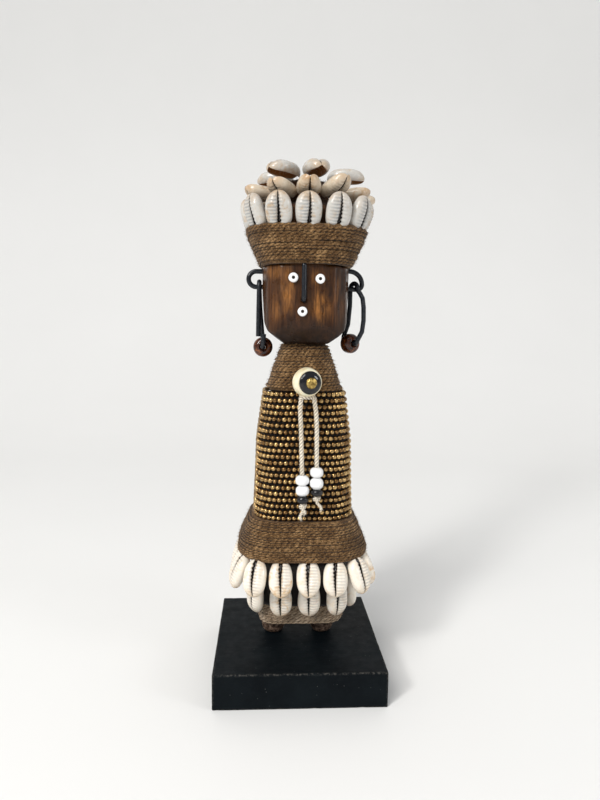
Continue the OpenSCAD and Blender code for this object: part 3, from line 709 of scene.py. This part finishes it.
def make_knot(side):
    """An overhand knot: one lobe over another, and the strand's cut tails, frayed at their ends."""
    node = f"{side}_knot"
    z = box(node)[1][2] - 1.9 * MM
    a, b = np.array(ROUTES[side][2]) * MM, np.array(ROUTES[side][-2 if side == "left" else -1]) * MM
    c = a + (b - a) * (z - a[2]) / (b[2] - a[2])
    shape = Shape()
    u = ring(28)
    loop = [1.05 * np.sin(u) + 0.35 * np.sin(2 * u), 0.85 * np.cos(u), 0.75 * np.sin(2 * u) + 0.15]
    path = smooth_path(c + MM * np.stack(loop, 1), 0.3 * MM, True)
    add_cord(shape, path, 0.95 * MM, 15, True, 4 * MM, 0.3, 90, 1.1 * MM)
    for tail in TAILS[side]:
        tail = np.array(tail) * MM
        bend = np.array([0.5, -0.15, 0]) * MM * (1 if tail[0] < 0 else -1)
        path = smooth_path([c, c + tail * 0.35 + bend, c + tail * 0.7 - bend, c + tail * 0.9], 0.3 * MM)
        radius = np.linspace(0.95, 0.72, len(path)) * MM
        add_cord(shape, path, radius, 15, False, 4.5 * MM, 0.3, 60, 1.0 * MM)
        end, along = path[-1], unit(path[-1] - path[-4])
        for k in range(16):
            start = end + rng.normal(size=3) * 0.28 * MM - along * 0.5 * MM
            lean = along + rng.normal(size=3) * 0.35
            tip = start + unit(lean) * rng.uniform(0.8, 1.7) * MM
            strand = smooth_path([start, (start + tip) / 2 + rng.normal(size=3) * 0.12 * MM, tip], 0.25 * MM)
            v, q, t, deep = tube(strand, np.linspace(0.13, 0.04, len(strand)) * MM, 5)
            shape.add(v, q, t, deep=deep)
    return shape.make(f"{side}_tied_knot", f"{side}_strand", "cotton_cord", COTTON, [node])


def bead_shape(outer, bore, length, edge, place, turn, wobble, seed, segments):
    """One bead about its own Z, wobbled a little as hand-pulled glass is."""
    v, q = lathe(rounded_profile(outer, bore, length, edge), segments)
    v[:, 2] -= length / 2
    out = np.linalg.norm(v[:, :2], axis=1)[:, None] > bore * 1.2
    v = v + out * wobble * noise_vectors(v, outer * 1.1, seed)
    return v @ turn.T + place, q


def make_cord_beads(side):
    out = []
    a, b = np.array(ROUTES[side][2]) * MM, np.array(ROUTES[side][6]) * MM
    for k, part in enumerate(("white_bead_upper", "white_bead_lower", "black_bead")):
        node = f"{side}_{part}"
        lo, hi, c = box(node)
        slot, material = ("white_glass", WHITE_GLASS) if k < 2 else ("black_glass", BLACK_GLASS)
        length = (hi[2] - lo[2]) * (0.97 if k < 2 else 0.96)
        v, q = bead_shape((hi[0] - lo[0]) / 2 * 0.99, CORD_D / 2 + 0.20 * MM, length * 0.985, length * 0.44,
                          c, axes_from(a - b), 0.12 * MM, 10 * k + len(side), 44)
        shape = Shape().add(v, q, tint=0.5)
        out.append(shape.make(f"{side}_cord_{part}", f"{side}_strand_beads", slot, material, [node]))
    return out


def make_hitch():
    """The strands' cross-piece below the pendant, and the loop that runs up round the tack."""
    shape = Shape()
    bar = [[-1.1, -23, 156.4], [-0.4, -23.1, 157.5], [2.6, -23.15, 157.7], [5.6, -23.1, 157.5],
           [6.3, -23, 156.4]]
    loop = [[-0.3, -22.6, 157.6], [-0.6, -19.7, 158.6], [-0.1, -18.6, 162], [0.3, -18.6, 166.4],
            [2.4, -18.6, 168.6], [4.7, -18.6, 166.4], [5.3, -18.6, 162], [5.8, -19.7, 158.6],
            [5.5, -22.6, 157.6]]
    for points, r in ((bar, CORD_D / 2), (loop, 1.05 * MM)):
        path = smooth_path(np.array(points) * MM, 0.3 * MM)
        add_cord(shape, path, r, 21, False, 5 * MM, 0.34, 120, 1.1 * MM)
    return shape.make("cotton_hitch", "doll", "cotton_cord", COTTON, ["cord_hitch"])


make_hitch()
for side in ("left", "right"):
    strand, path = make_strand(side)
    pieces = [make_knot(side), *make_cord_beads(side)]

# ---------------------------------------------------------------- twine wraps


def make_wrap(node, name, material, slot, rows, pitch, rough, loose, foot=(0, 0)):
    """A wrap of two-ply twine: one helix over the CAD wrap's outline, with a lining behind it.

    rough is how unevenly it is wound, loose how many hairs it has, foot how far its lowest turn stands out.
    """
    sizes = sizes_of(node)
    z0, z1 = sizes[0, 0], sizes[-1, 0]
    step = (z1 - z0) / rows
    r = step * 0.62
    m = 420  # points in each turn
    turns = np.arange(m * rows) / m
    z = z0 + r * 0.9 + turns * (z1 - z0 - 1.8 * r) / rows
    z = z + 0.16 * rough * step * noise3(np.stack([turns * 3.1, np.floor(turns) * 7.7, turns * 0], 1), 1.0, 3)
    near = np.abs(sizes[None, :, 0] - z[:, None]) < 0.6 * step
    w, d = (np.maximum(np.where(near, x[None], 0).max(1), np.interp(z, sizes[:, 0], x)) for x in sizes.T[1:])
    spread = np.clip(1 - (z - z0) / (1.6 * step), 0, 1)
    w, d = w + foot[0] * spread, d + foot[1] * spread
    push = noise3(np.stack([turns * 5.3, np.floor(turns) * 3.3, turns * 0], 1), 1.0, 5)
    inset = r * 0.95 + 0.1 * MM - 0.25 * rough * r * push
    depth = float(np.mean(d / w))
    pts = np.tile(rounded_outline(1.0, depth, m), (rows, 1))
    path = np.stack([AXIS[0] + pts[:, 0] * (w - inset), AXIS[1] + pts[:, 1] / depth * (d - inset), z], 1)
    shape = Shape()
    t = np.roll(path, -1, 0) - np.roll(path, 1, 0)
    t[0], t[-1] = path[1] - path[0], path[-1] - path[-2]
    t = unit(t)
    out = unit(np.cross(t, [0, 0, 1.0]))
    th, s = ring(10), arc(path)
    phase = 2 * math.pi * s / pitch + 2 * noise_along(s, 0, 25 * MM, 8)
    lobe = np.abs(np.cos(th[None] - phase[:, None]))
    thick = r * (1 + 0.16 * noise_along(s, 5, 9 * MM, 6))
    v = sweep(path, thick[:, None] * (0.72 + 0.32 * lobe), th, out, np.cross(out, t))
    # painted shade: deep is high between the plies and where each turn meets the turns above and below
    shade = np.clip(0.75 * (1 - lobe) + 1.8 * np.clip(np.abs(np.sin(th))[None] - 0.55, 0, 1), 0, 1)
    shape.add(v, grid_quads(len(path), len(th)), deep=shade.ravel())
    fibres(shape, v[:, 0], out, loose, 2.0 * MM, HAIR, 0.75, deep=0)
    fibres(shape, v[:, 0], out, loose, 1.0 * MM, 0.05 * MM, 1.2, deep=0.3)
    # the lining behind the turns is painted darker (deep 0.45): painted shade seen through the gaps
    lining(shape, sizes, r, 5 * MM, 96, 0.0, 0.45)
    return shape.make(name, "doll", slot, material, [node])


def lining(shape, sizes, inset, wall, m, ripple, deep):
    """Closed tube of cloth or packed twine: an outer wall, an inner wall and both rims."""
    z = np.linspace(sizes[0, 0] + 0.05 * MM, sizes[-1, 0] - 0.05 * MM, 14)
    rings = []
    for levels, back in ((z, inset), (z[::-1], inset + wall)):
        for h in levels:
            w, d = (np.interp(h, sizes[:, 0], x) - back for x in sizes.T[1:])
            rings.append(np.column_stack([rounded_outline(w, d, m) + AXIS, np.full(m, h)]))
    v = np.concatenate(rings)
    v[:, :2] += (ripple * noise3(v, 4 * MM, 12))[:, None] * unit(v[:, :2] - AXIS)
    shape.add(v, grid_quads(len(rings), m, wrap_rows=True), deep=deep)


make_wrap("head_band", "head_band_twine", TWINE, "brown_twine", 13, 6.2 * MM, 1.6, 2200)
make_wrap("neck_wrap", "neck_twine", TWINE, "brown_twine", 17, 5.6 * MM, 1.3, 1300, (2.2 * MM, 0.7 * MM))
make_wrap("hip_wrap", "hip_twine", TWINE, "brown_twine", 17, 6.4 * MM, 1.8, 2400)
make_wrap("leg_wrap", "leg_twine", PALE_TWINE, "pale_twine", 12, 6.0 * MM, 1.0, 500)


def make_cloth(node, name, top_gap):
    """A band of cloth, its ends sewn together, stretched tight around the figure."""
    shape, sizes = Shape(), sizes_of(node)
    sizes = sizes[sizes[:, 0] < sizes[-1, 0] - top_gap]
    z, w, d = sizes.T
    lining(shape, sizes, 0.0, 0.6 * MM, 160, 0.12 * MM, 0)
    around = np.array([outline_length(a, b) for a, b in zip(w, d)])
    cloth = shape.make(name, "doll", "black_cloth", CLOTH, [node])


def outline_length(w, d):
    p = rounded_outline(w, d, 160)
    return np.linalg.norm(p - np.roll(p, 1, 0), axis=1).sum()


make_cloth("torso_cloth", "torso_cloth_wrap", 1.0 * MM)
make_cloth("skirt_cloth", "skirt_cloth_wrap", 0.0)

# ---------------------------------------------------------------- seed beads


def make_seed_beads(group):
    node = f"bead_strings_{group}"
    solids = [v for v, _ in islands(node)]
    c = np.array([(v.min(0) + v.max(0)) / 2 for v in solids])
    size = float(np.mean([np.ptp(v[:, 2]) for v in solids[:4]]))
    heights = np.unique(np.round(c[:, 2], 4))
    unit_v, unit_q = lathe(rounded_profile(size * 0.51, size * 0.16, size * 0.93, size * 0.40, 4), 14)
    unit_v[:, 2] -= size * 0.465
    shape, thread = Shape(), Shape()
    for h in heights:
        row = c[np.abs(c[:, 2] - h) < 0.5 * MM]
        row = row[np.argsort(np.arctan2(row[:, 1] - AXIS[1], row[:, 0] - AXIS[0]))]
        row[:, 2] += 0.14 * MM * noise3(np.column_stack([row[:, :2], np.full(len(row), h)]), 14 * MM, 21)
        along = np.roll(row, -1, 0) - np.roll(row, 1, 0)
        v, q, t, _ = tube(smooth_path(row, 0.9 * MM, True), 0.42 * MM, 6, True)
        thread.add(v, q, t)
        for p, d in zip(row, along):
            turn = axes_from(d + rng.normal(size=3) * 0.07 * np.linalg.norm(d), (0, 0, 1))
            k = rng.uniform(0.93, 1.03, 3) * [1, 1, rng.uniform(0.9, 1.03)]
            at = p + rng.normal(size=3) * 0.05 * MM
            shape.add((unit_v * k) @ turn.T + at, unit_q, tint=rng.uniform(0, 1))
    shape.make(f"seed_beads_{group}", "doll", "bronze_bead", BRONZE, [node])
    thread.make(f"bead_thread_{group}", "doll", "black_cloth", THREAD)


for group in range(1, 8):
    make_seed_beads(group)

# ---------------------------------------------------------------- cowries

# Half of a cowrie's cross-section, from the middle of its cut back round to its mouth:
# share of the half width, share of the thickness
HALF_SECTION = [(0, -0.46), (0.22, -0.455), (0.42, -0.40), (0.56, -0.25), (0.63, -0.07), (0.68, -0.01),
                (0.74, 0.0), (0.80, -0.03), (0.89, -0.14), (0.97, -0.30), (1.0, -0.46), (0.975, -0.62),
                (0.90, -0.77), (0.78, -0.88), (0.64, -0.955), (0.50, -0.99), (0.37, -1.0), (0.26, -0.985),
                (0.16, -0.94)]
TEETH = 11


def cowrie(seed, loops=67):
    """Cowrie ground open at the back, in a unit box: x across, y = 0 at the back, z from its bound end.

    Its values for the material: painted shade inside the mouth, painted shade in the grooves between the
    teeth, inner, and end.
    """
    r = np.random.default_rng(seed)
    z = (1 - np.cos(np.linspace(0.05, 1, loops) * math.pi * 0.985)) / 2
    z = np.linspace(0.004, 0.996, loops) * 0.6 + 0.4 * z
    u = np.abs(2 * z - 1)
    a = 0.5 * (1 - u ** 2.5) ** 0.52 * (1 + r.uniform(-0.02, 0.07) * (2 * z - 1))
    t = (1 - u ** 3.0) ** 0.5
    open_ = 0.022 + 0.078 * np.clip((0.95 - z) / 0.8, 0, 1) ** 1.1
    mid = 0.035 * np.sin((z - 0.1) * 3.6 + r.uniform(-0.3, 0.3)) + r.uniform(-0.012, 0.012)
    tooth = 0.5 + 0.5 * np.cos(2 * math.pi * (TEETH * (0.35 * z * z + 0.65 * z) + r.uniform()))
    fine = 0.5 + 0.5 * np.cos(2 * math.pi * (TEETH * 1.15 * z + r.uniform()))
    inside = np.clip((z - 0.06) / 0.08, 0, 1) * np.clip((0.97 - z) / 0.06, 0, 1)
    cols = []
    for side, lip, reach, grey, bite in ((1, tooth, 0.55, 0.6, 0.62), (-1, fine, 0.92, 1.0, 0.25)):
        half = []
        for x, y in HALF_SECTION[1 if side < 0 else 0:]:
            front = y < -0.8 and x < 0.95
            near = np.clip(1 - x / reach, 0, 1) if front else 0
            px = side * x * a + (mid * (1 - x) ** 2 if front else 0)
            py = y * t
            if front:
                py = py - 0.050 * near ** 0.6 * (lip - 0.5) * inside * (x < reach)
                px = px + side * (open_ - 0.02) * (1 - x) ** 6
            # painted shade in the grooves between the teeth
            groove = near ** 0.6 * (1 - lip) ** 1.5 * inside * grey if front else 0.0
            half.append((px, py, 0.0, groove, 1.0 if x < 0.66 and y > -0.5 else 0.0))
        edge = open_ * (1 - bite * lip * inside)
        # the mouth's walls, painted near black as shade
        for share, deep, slit in ((1, -0.87, 0.45), (0.95, -0.80, 1.0), (0.7, -0.64, 1.0)):
            half.append((mid + side * edge * share, deep * t, slit, 0.0, 0.0))
        if side > 0:
            half.append((mid, -0.60 * t, 1.0, 0.0, 0.0))
            cols = half
        else:
            cols = cols + half[::-1]
    n = len(cols)
    px, py, slit, ridge, inner = (np.stack([np.broadcast_to(x, loops) for x in xs], 1) for xs in zip(*cols))
    v = np.stack([px, py - (0.30 * (1 - t) ** 2)[:, None], np.repeat(z[:, None], n, 1)], -1)
    slit = slit * (np.clip((z - 0.03) / 0.05, 0, 1) * np.clip((0.99 - z) / 0.05, 0, 1))[:, None]
    vals = {k: np.append(x, [0, 0]) for k, x in (("slit", slit), ("ridge", ridge), ("inner", inner))}
    vals["end"] = np.append(np.repeat(np.clip((z - 0.72) / 0.28, 0, 1) ** 1.5, n), [0, 1])
    poles = np.array([[0, -0.30, 0.0], [mid[-1], -0.30, 1.0]])
    return np.concatenate([v.reshape(-1, 3), poles]), grid_quads(loops, n), end_fans(loops, n), vals


SHELLS = [cowrie(s) for s in (1, 2, 3, 4, 5)]


def shell_place(v, tri, free_end):
    """Where a CAD shell lies: its axes, the bound end's middle at the cut back, and its sizes."""
    n = np.cross(v[tri[:, 1]] - v[tri[:, 0]], v[tri[:, 2]] - v[tri[:, 0]])
    area = np.linalg.norm(n, axis=1)
    n = n / np.maximum(area, 1e-15)[:, None]
    best = max(n[np.argsort(area)[-12:]], key=lambda u: area[n @ u > 0.9995].sum())
    back = n[n @ best > 0.9995].mean(0)
    back /= np.linalg.norm(back)
    flat = v - np.outer(v @ back, back)
    flat = flat - flat.mean(0)
    long = np.linalg.eigh(flat.T @ flat)[1][:, -1]
    if free_end(long):
        long = -long
    across = np.cross(back, long)
    x, y, z = v @ across, v @ back, v @ long
    origin = across * (x.max() + x.min()) / 2 + back * y.max() + long * z.min()
    return np.stack([across, back, long], 1), origin, np.array([np.ptp(x), np.ptp(y), np.ptp(z)])


def make_shells(node, name, material, free_end):
    shape = Shape()
    for v, tri in islands(node):
        c = v.mean(0)
        turn, origin, size = shell_place(v, tri, lambda long: free_end(long, c))
        sv, q, t, vals = SHELLS[rng.integers(len(SHELLS))]
        local = sv * size * [rng.uniform(1.01, 1.06), 1, 1]
        local = local + 0.14 * MM * np.stack([noise3(sv + rng.uniform(0, 99), 0.4, k) for k in range(3)], 1)
        shape.add(local @ turn.T + origin, q, t, tint=rng.uniform(0, 1), **vals)
    return shape.make(name, "doll", "cowrie_shell", material, [node])


def outward(v, c):
    return v[0] * (c[0] - AXIS[0]) + v[1] * (c[1] - AXIS[1])


def hangs(long, c):
    return long[2] > 0


def stands(long, c):
    return long[2] < 0


def lies(long, c):
    return outward(long, c) < 0


for node, name, material, free_end in (
        ("skirt_cowries_lower", "skirt_shells_lower", SKIRT_SHELL, hangs),
        ("skirt_cowries_upper", "skirt_shells_upper", SKIRT_SHELL, hangs),
        ("crown_cowries_lower", "crown_shells_lower", SHADED_CROWN_SHELL, stands),
        ("crown_cowries_middle", "crown_shells_middle", TAN_SHELL, lies),
        ("crown_cowries_top", "crown_shells_top", SHADED_CROWN_SHELL, lies)):
    make_shells(node, name, material, free_end)


def make_crown_pad():
    """The fibre pad, its surface bunched and hairy."""
    lo, hi, c = box("crown_pad")
    h = hi[2] - lo[2]
    r = (hi[0] - lo[0]) / 2
    p = np.array([(0.001 * MM, 0), (r * 0.6, 0), (r * 0.97, 0.2 * MM), (r, 2 * MM), (r, 8 * MM),
                  (r * 0.98, 14.6 * MM), (r * 0.9, 16.8 * MM), (r * 0.7, 17.8 * MM), (r * 0.58, 19 * MM),
                  (r * 0.55, 23 * MM), (r * 0.54, h - 2 * MM), (r * 0.46, h - 0.4 * MM), (r * 0.25, h),
                  (0.001 * MM, h)])
    s = arc(p)
    v, q = lathe(at_lengths(p, s, np.linspace(0, s[-1], 60)), 90)
    v = v + [*c[:2], lo[2]]
    out = v - [*c[:2], 0]
    out[:, 2] = 0
    out = unit(out, 1e-6)
    v = v + out * (0.5 * MM * noise3(v, 2.2 * MM, 31) - 0.5 * MM)[:, None]
    # the pad's surface is painted a little darker than its loose hairs (deep 0.3): painted shade under the
    # hairs
    shape = Shape().add(v, q[:-90], deep=0.3)
    fibres(shape, v, out, 2500, 3.2 * MM, 0.07 * MM, 1.0, deep=0)
    pad = shape.make("crown_fibre_pad", "doll", "fibre_pad", FIBRE, ["crown_pad"])


make_crown_pad()

# ---------------------------------------------------------------- carved wood and plinth


# Where the dark stain has worn through on the face: x, z, half width and half height in mm, and how much
WORN_PATCHES = [(-8.5, 212, 3.6, 12, 1.0), (9.0, 205, 4.6, 9, 1.0), (7.5, 219, 4, 5, 0.6),
                (-15, 222, 6, 4, 0.6), (-14, 203, 3.0, 7, 0.5), (17, 213, 2.5, 8, 0.4)]


def make_figure():
    """The carving: the CAD solid with its knife edges softened and its faces gently gouged."""
    o = add_object("carved_wood_figure", NODES["carved_figure"].data.copy())
    mod = o.modifiers.new("remesh", "REMESH")
    mod.mode, mod.voxel_size = "VOXEL", 0.85 * MM
    smooth = o.modifiers.new("smooth", "SMOOTH")
    smooth.factor, smooth.iterations = 0.6, 7
    baked = bpy.data.meshes.new_from_object(o.evaluated_get(bpy.context.evaluated_depsgraph_get()))
    o.modifiers.clear()
    o.data = baked
    v, n = (read(baked.vertices, key, 3).astype(float) for key in ("co", "normal"))
    gouge = 0.16 * noise3(v * [1, 1, 0.5], 4.5 * MM, 41) + 0.07 * noise3(v * [1, 1, 0.3], 1.8 * MM, 42)
    v = v + n * MM * gouge[:, None]
    baked.vertices.foreach_set("co", v.astype(np.float32).ravel())
    baked.polygons.foreach_set("use_smooth", np.ones(len(baked.polygons), bool))
    worn = np.full(len(v), 0.12)
    for x, z, wide, tall, much in WORN_PATCHES:
        gap = ((v[:, 0] / MM - x) / wide) ** 2 + ((v[:, 2] / MM - z) / tall) ** 2
        worn = np.maximum(worn, much * np.exp(-gap ** 1.5) * (v[:, 1] < 0))
    behind = (v[:, 1] >= 0) * np.clip(noise3(v * [1, 1, 0.5], 9 * MM, 43) * 1.5, 0, 0.8)
    set_values(baked, "worn", np.maximum(worn, behind))
    baked.update()
    return dress(o, "doll", WOOD, ["carved_figure"])


make_figure()


def make_plinth():
    """Painted board: soft worn edges with small dents."""
    lo, hi, _ = box("plinth")
    r = 0.7 * MM  # of its rounded edges
    steps = [np.unique([*np.linspace(a, b, n), *np.linspace(a, a + r, 4), *np.linspace(b - r, b, 4)])
             for a, b, n in zip(lo, hi, (70, 70, 18))]
    shape = Shape()
    for k in range(3):
        i, j = (k + 1) % 3, (k + 2) % 3
        for end in (0, 1):
            g1, g2 = np.meshgrid(steps[i], steps[j], indexing="ij")
            v = np.zeros((*g1.shape, 3))
            v[..., i], v[..., j], v[..., k] = g1, g2, (lo, hi)[end][k]
            q = grid_quads(len(steps[i]), len(steps[j]), wrap_cols=False)
            v = v.reshape(-1, 3)
            inner = np.clip(v, lo + r, hi - r)
            out = unit(v - inner)
            v = inner + out * np.minimum(np.linalg.norm(v - inner, axis=1), r)[:, None]
            gap = np.sort(np.minimum(v - lo, hi - v), axis=1)[:, 1]
            edge = np.clip(1 - gap / (1.1 * MM), 0, 1)
            wear = np.clip(noise3(v, 3.5 * MM, 51) * 1.4 - 0.35, 0, 1)
            wear = wear + 0.25 * np.clip(noise3(v, 1.2 * MM, 52), 0, 1)
            v = v - out * (0.30 * MM * edge * wear)[:, None]
            shape.add(v, q if end else q[:, ::-1], edge=edge)
    o = shape.make("painted_plinth", "doll", "black_paint", PAINT, ["plinth"])
    bm = bmesh.new()
    bm.from_mesh(o.data)
    bmesh.ops.remove_doubles(bm, verts=bm.verts, dist=0.01 * MM)
    bmesh.ops.recalc_face_normals(bm, faces=bm.faces)
    bm.to_mesh(o.data)
    bm.free()


make_plinth()

# ---------------------------------------------------------------- wire, beads and pendant


def make_nose():
    """The nose wire: down the face, then bent back into it below the nose."""
    lo, hi, c = box("nose_wire")
    r = (hi[0] - lo[0]) / 2
    x, y, z = c[0], lo[1] + r, lo[2] + r
    path = smooth_path([[x, y, hi[2] + 0.2 * MM], [x, y, (hi[2] + z) / 2], [x, y, z + 2.2 * MM],
                        [x, y + 0.3 * MM, z + 0.9 * MM], [x, y + 1.4 * MM, z], [x, y + 3 * MM, z]], 0.4 * MM)
    path = path + 0.025 * MM * noise_vectors(path, 9 * MM, 60)
    v, q, t, _ = tube(path, r, 18, taper=r)
    Shape().add(v, q, t).make("nose_wire_bent", "doll", "black_wire", WIRE, ["nose_wire"])


make_nose()

# These CAD nodes are shown as they are
for node, material in (("left_ear_loop", WIRE), ("right_ear_loop", WIRE), ("face_pins", IRON),
                       ("foot_pins", STEEL), ("left_earring_wire", WIRE), ("right_earring_wire", WIRE)):
    NODES[node].data.materials.clear()
    NODES[node].data.materials.append(material)


def make_face_bead(node, seed):
    lo, hi, c = box(node)
    length = hi[1] - lo[1]
    v, q = bead_shape((hi[0] - lo[0]) / 2, 0.85 * MM, length, length * 0.46, c, axes_from((0, -1, 0)),
                      0.10 * MM, seed, 40)
    Shape().add(v, q, tint=0.6).make(f"{node}_glass", "doll", "white_glass", WHITE_GLASS, [node])


for k, node in enumerate(("left_eye_bead", "right_eye_bead", "mouth_bead")):
    make_face_bead(node, 70 + k)


def make_amber(side, turn):
    node = f"{side}_earring_bead"
    lo, hi, c = box(node)
    axis = (math.sin(math.radians(turn)), -math.cos(math.radians(turn)), 0)
    v, q = bead_shape((hi[2] - lo[2]) / 2, 1.39 * MM, 7.8 * MM, 3.2 * MM, c, axes_from(axis, (0, 0, 1)),
                      0.10 * MM, 80, 48)
    Shape().add(v, q, tint=0.5).make(f"{side}_amber_bead", node, "amber_bead", AMBER, [node])


make_amber("left", 0)
make_amber("right", 30)


# The pendant's pieces as [radius, z] in mm, with z = 0 at the back of the bone bead
BONE_L = 7.2
PENDANT = [
    ("pendant_bead", "pendant_bone", "bone", BONE,
     [(1, 0.2), (1.4, 0), (6.3, 0), (6.9, 0.3), (7.35, 0.9), (7.65, 1.9), (7.68, 3.0), (7.5, 4.3), (7.2, 5.6),
      (6.9, 6.5), (6.5, 7.1), (6.1, BONE_L), (1.4, BONE_L), (1, 7.0)]),
    ("pendant_disc", "pendant_black_disc", "black_disc", DISC,
     [(1, BONE_L), (5.8, BONE_L), (6.0, 7.5), (5.95, 7.9), (5.6, 8.4), (5.0, 8.85), (4.2, 9.2), (3.3, 9.42),
      (2.2, 9.5), (1, 9.5)]),
    ("pendant_tack", "pendant_brass_tack", "brass_tack", BRASS,
     [(0.001, -16.5), (0.9, -16.5), (1, -14), (1, 9.45), (2.85, 9.5), (2.92, 9.8), (2.6, 10.3), (1.9, 10.65),
      (1.0, 10.78), (0.001, 10.8)]),
]


def make_pendant():
    turn = rotation("Z", 17) @ rotation("X", 90)
    place = box("pendant_bead")[2] - turn @ np.array([0, 0, BONE_L * MM / 2])
    for node, name, slot, mat, profile in PENDANT:
        p = np.array(profile) * MM
        p = np.concatenate([*(np.linspace(a, b, 4, endpoint=False) for a, b in zip(p, p[1:])), p[-1:]])
        v, q = lathe(p, 56)
        if node == "pendant_tack":
            q = q[:-56]
            head = v[:, 2] > 9.6 * MM
            v = v + head[:, None] * 0.16 * MM * noise_vectors(v, 1.4 * MM, 90)
        else:
            outside = np.linalg.norm(v[:, :2], axis=1) > 1.5 * MM
            v = v + 0.07 * MM * noise_vectors(v, 5 * MM, 90) * outside[:, None]
        Shape().add(v @ turn.T + place, q, tint=0.4).make(name, "doll", slot, mat, [node])


make_pendant()

# ---------------------------------------------------------------- floor and light


def make_stage():
    """A pale floor that bends up into a backdrop, a pale sky, the sun and two lamps."""
    m = Mat("floor", 0.75)
    m.set("Base Color", m.mix(m.noise(0.2, 2), (0.86, 0.855, 0.84), (0.89, 0.885, 0.87)))
    me = bpy.data.meshes.new("floor")
    half, back_y, bend, top = 14.0, 0.55, 0.9, 3.5
    turn = np.linspace(0, math.pi / 2, 24)
    curve = zip(back_y + bend * np.sin(turn), bend * (1 - np.cos(turn)))
    section = [(-half, 0.0), *curve, (back_y + bend, top)]
    verts = [(x, y, z) for y, z in section for x in (-half, half)]
    me.from_pydata(verts, [], [(2 * i, 2 * i + 1, 2 * i + 3, 2 * i + 2) for i in range(len(section) - 1)])
    me.polygons.foreach_set("use_smooth", np.ones(len(me.polygons), bool))
    me.materials.append(m.m)
    add_object("floor", me)
    world = bpy.data.worlds.new("world")
    bpy.context.scene.world = world
    world.use_nodes = True
    tree = world.node_tree
    back = tree.nodes["Background"]
    seen = tree.nodes.new("ShaderNodeBackground")
    path = tree.nodes.new("ShaderNodeLightPath")
    mix = tree.nodes.new("ShaderNodeMixShader")
    back.inputs[0].default_value, back.inputs[1].default_value = (0.95, 0.97, 1.0, 1), 0.42
    seen.inputs[0].default_value, seen.inputs[1].default_value = (0.93, 0.93, 0.92, 1), 0.92
    tree.links.new(path.outputs["Is Camera Ray"], mix.inputs[0])
    tree.links.new(back.outputs[0], mix.inputs[1])
    tree.links.new(seen.outputs[0], mix.inputs[2])
    tree.links.new(mix.outputs[0], tree.nodes["World Output"].inputs[0])
    sun = bpy.data.lights.new("sun", "SUN")
    sun.energy, sun.angle, sun.color = 1.35, math.radians(28), (1.0, 0.985, 0.96)
    aim("sun", sun, (-0.55, -0.75, 1.0), (0, 0, 0))
    mid = (0, 0, 0.15)
    area_light("key", (-0.55, -0.65, 0.62), mid, 0.16, 4.2, (1.0, 0.99, 0.97))
    area_light("fill", (0.75, -0.45, 0.40), mid, 0.25, 1.3, (0.97, 0.98, 1.0))
    bpy.context.scene.view_settings.view_transform = "Standard"


make_stage()
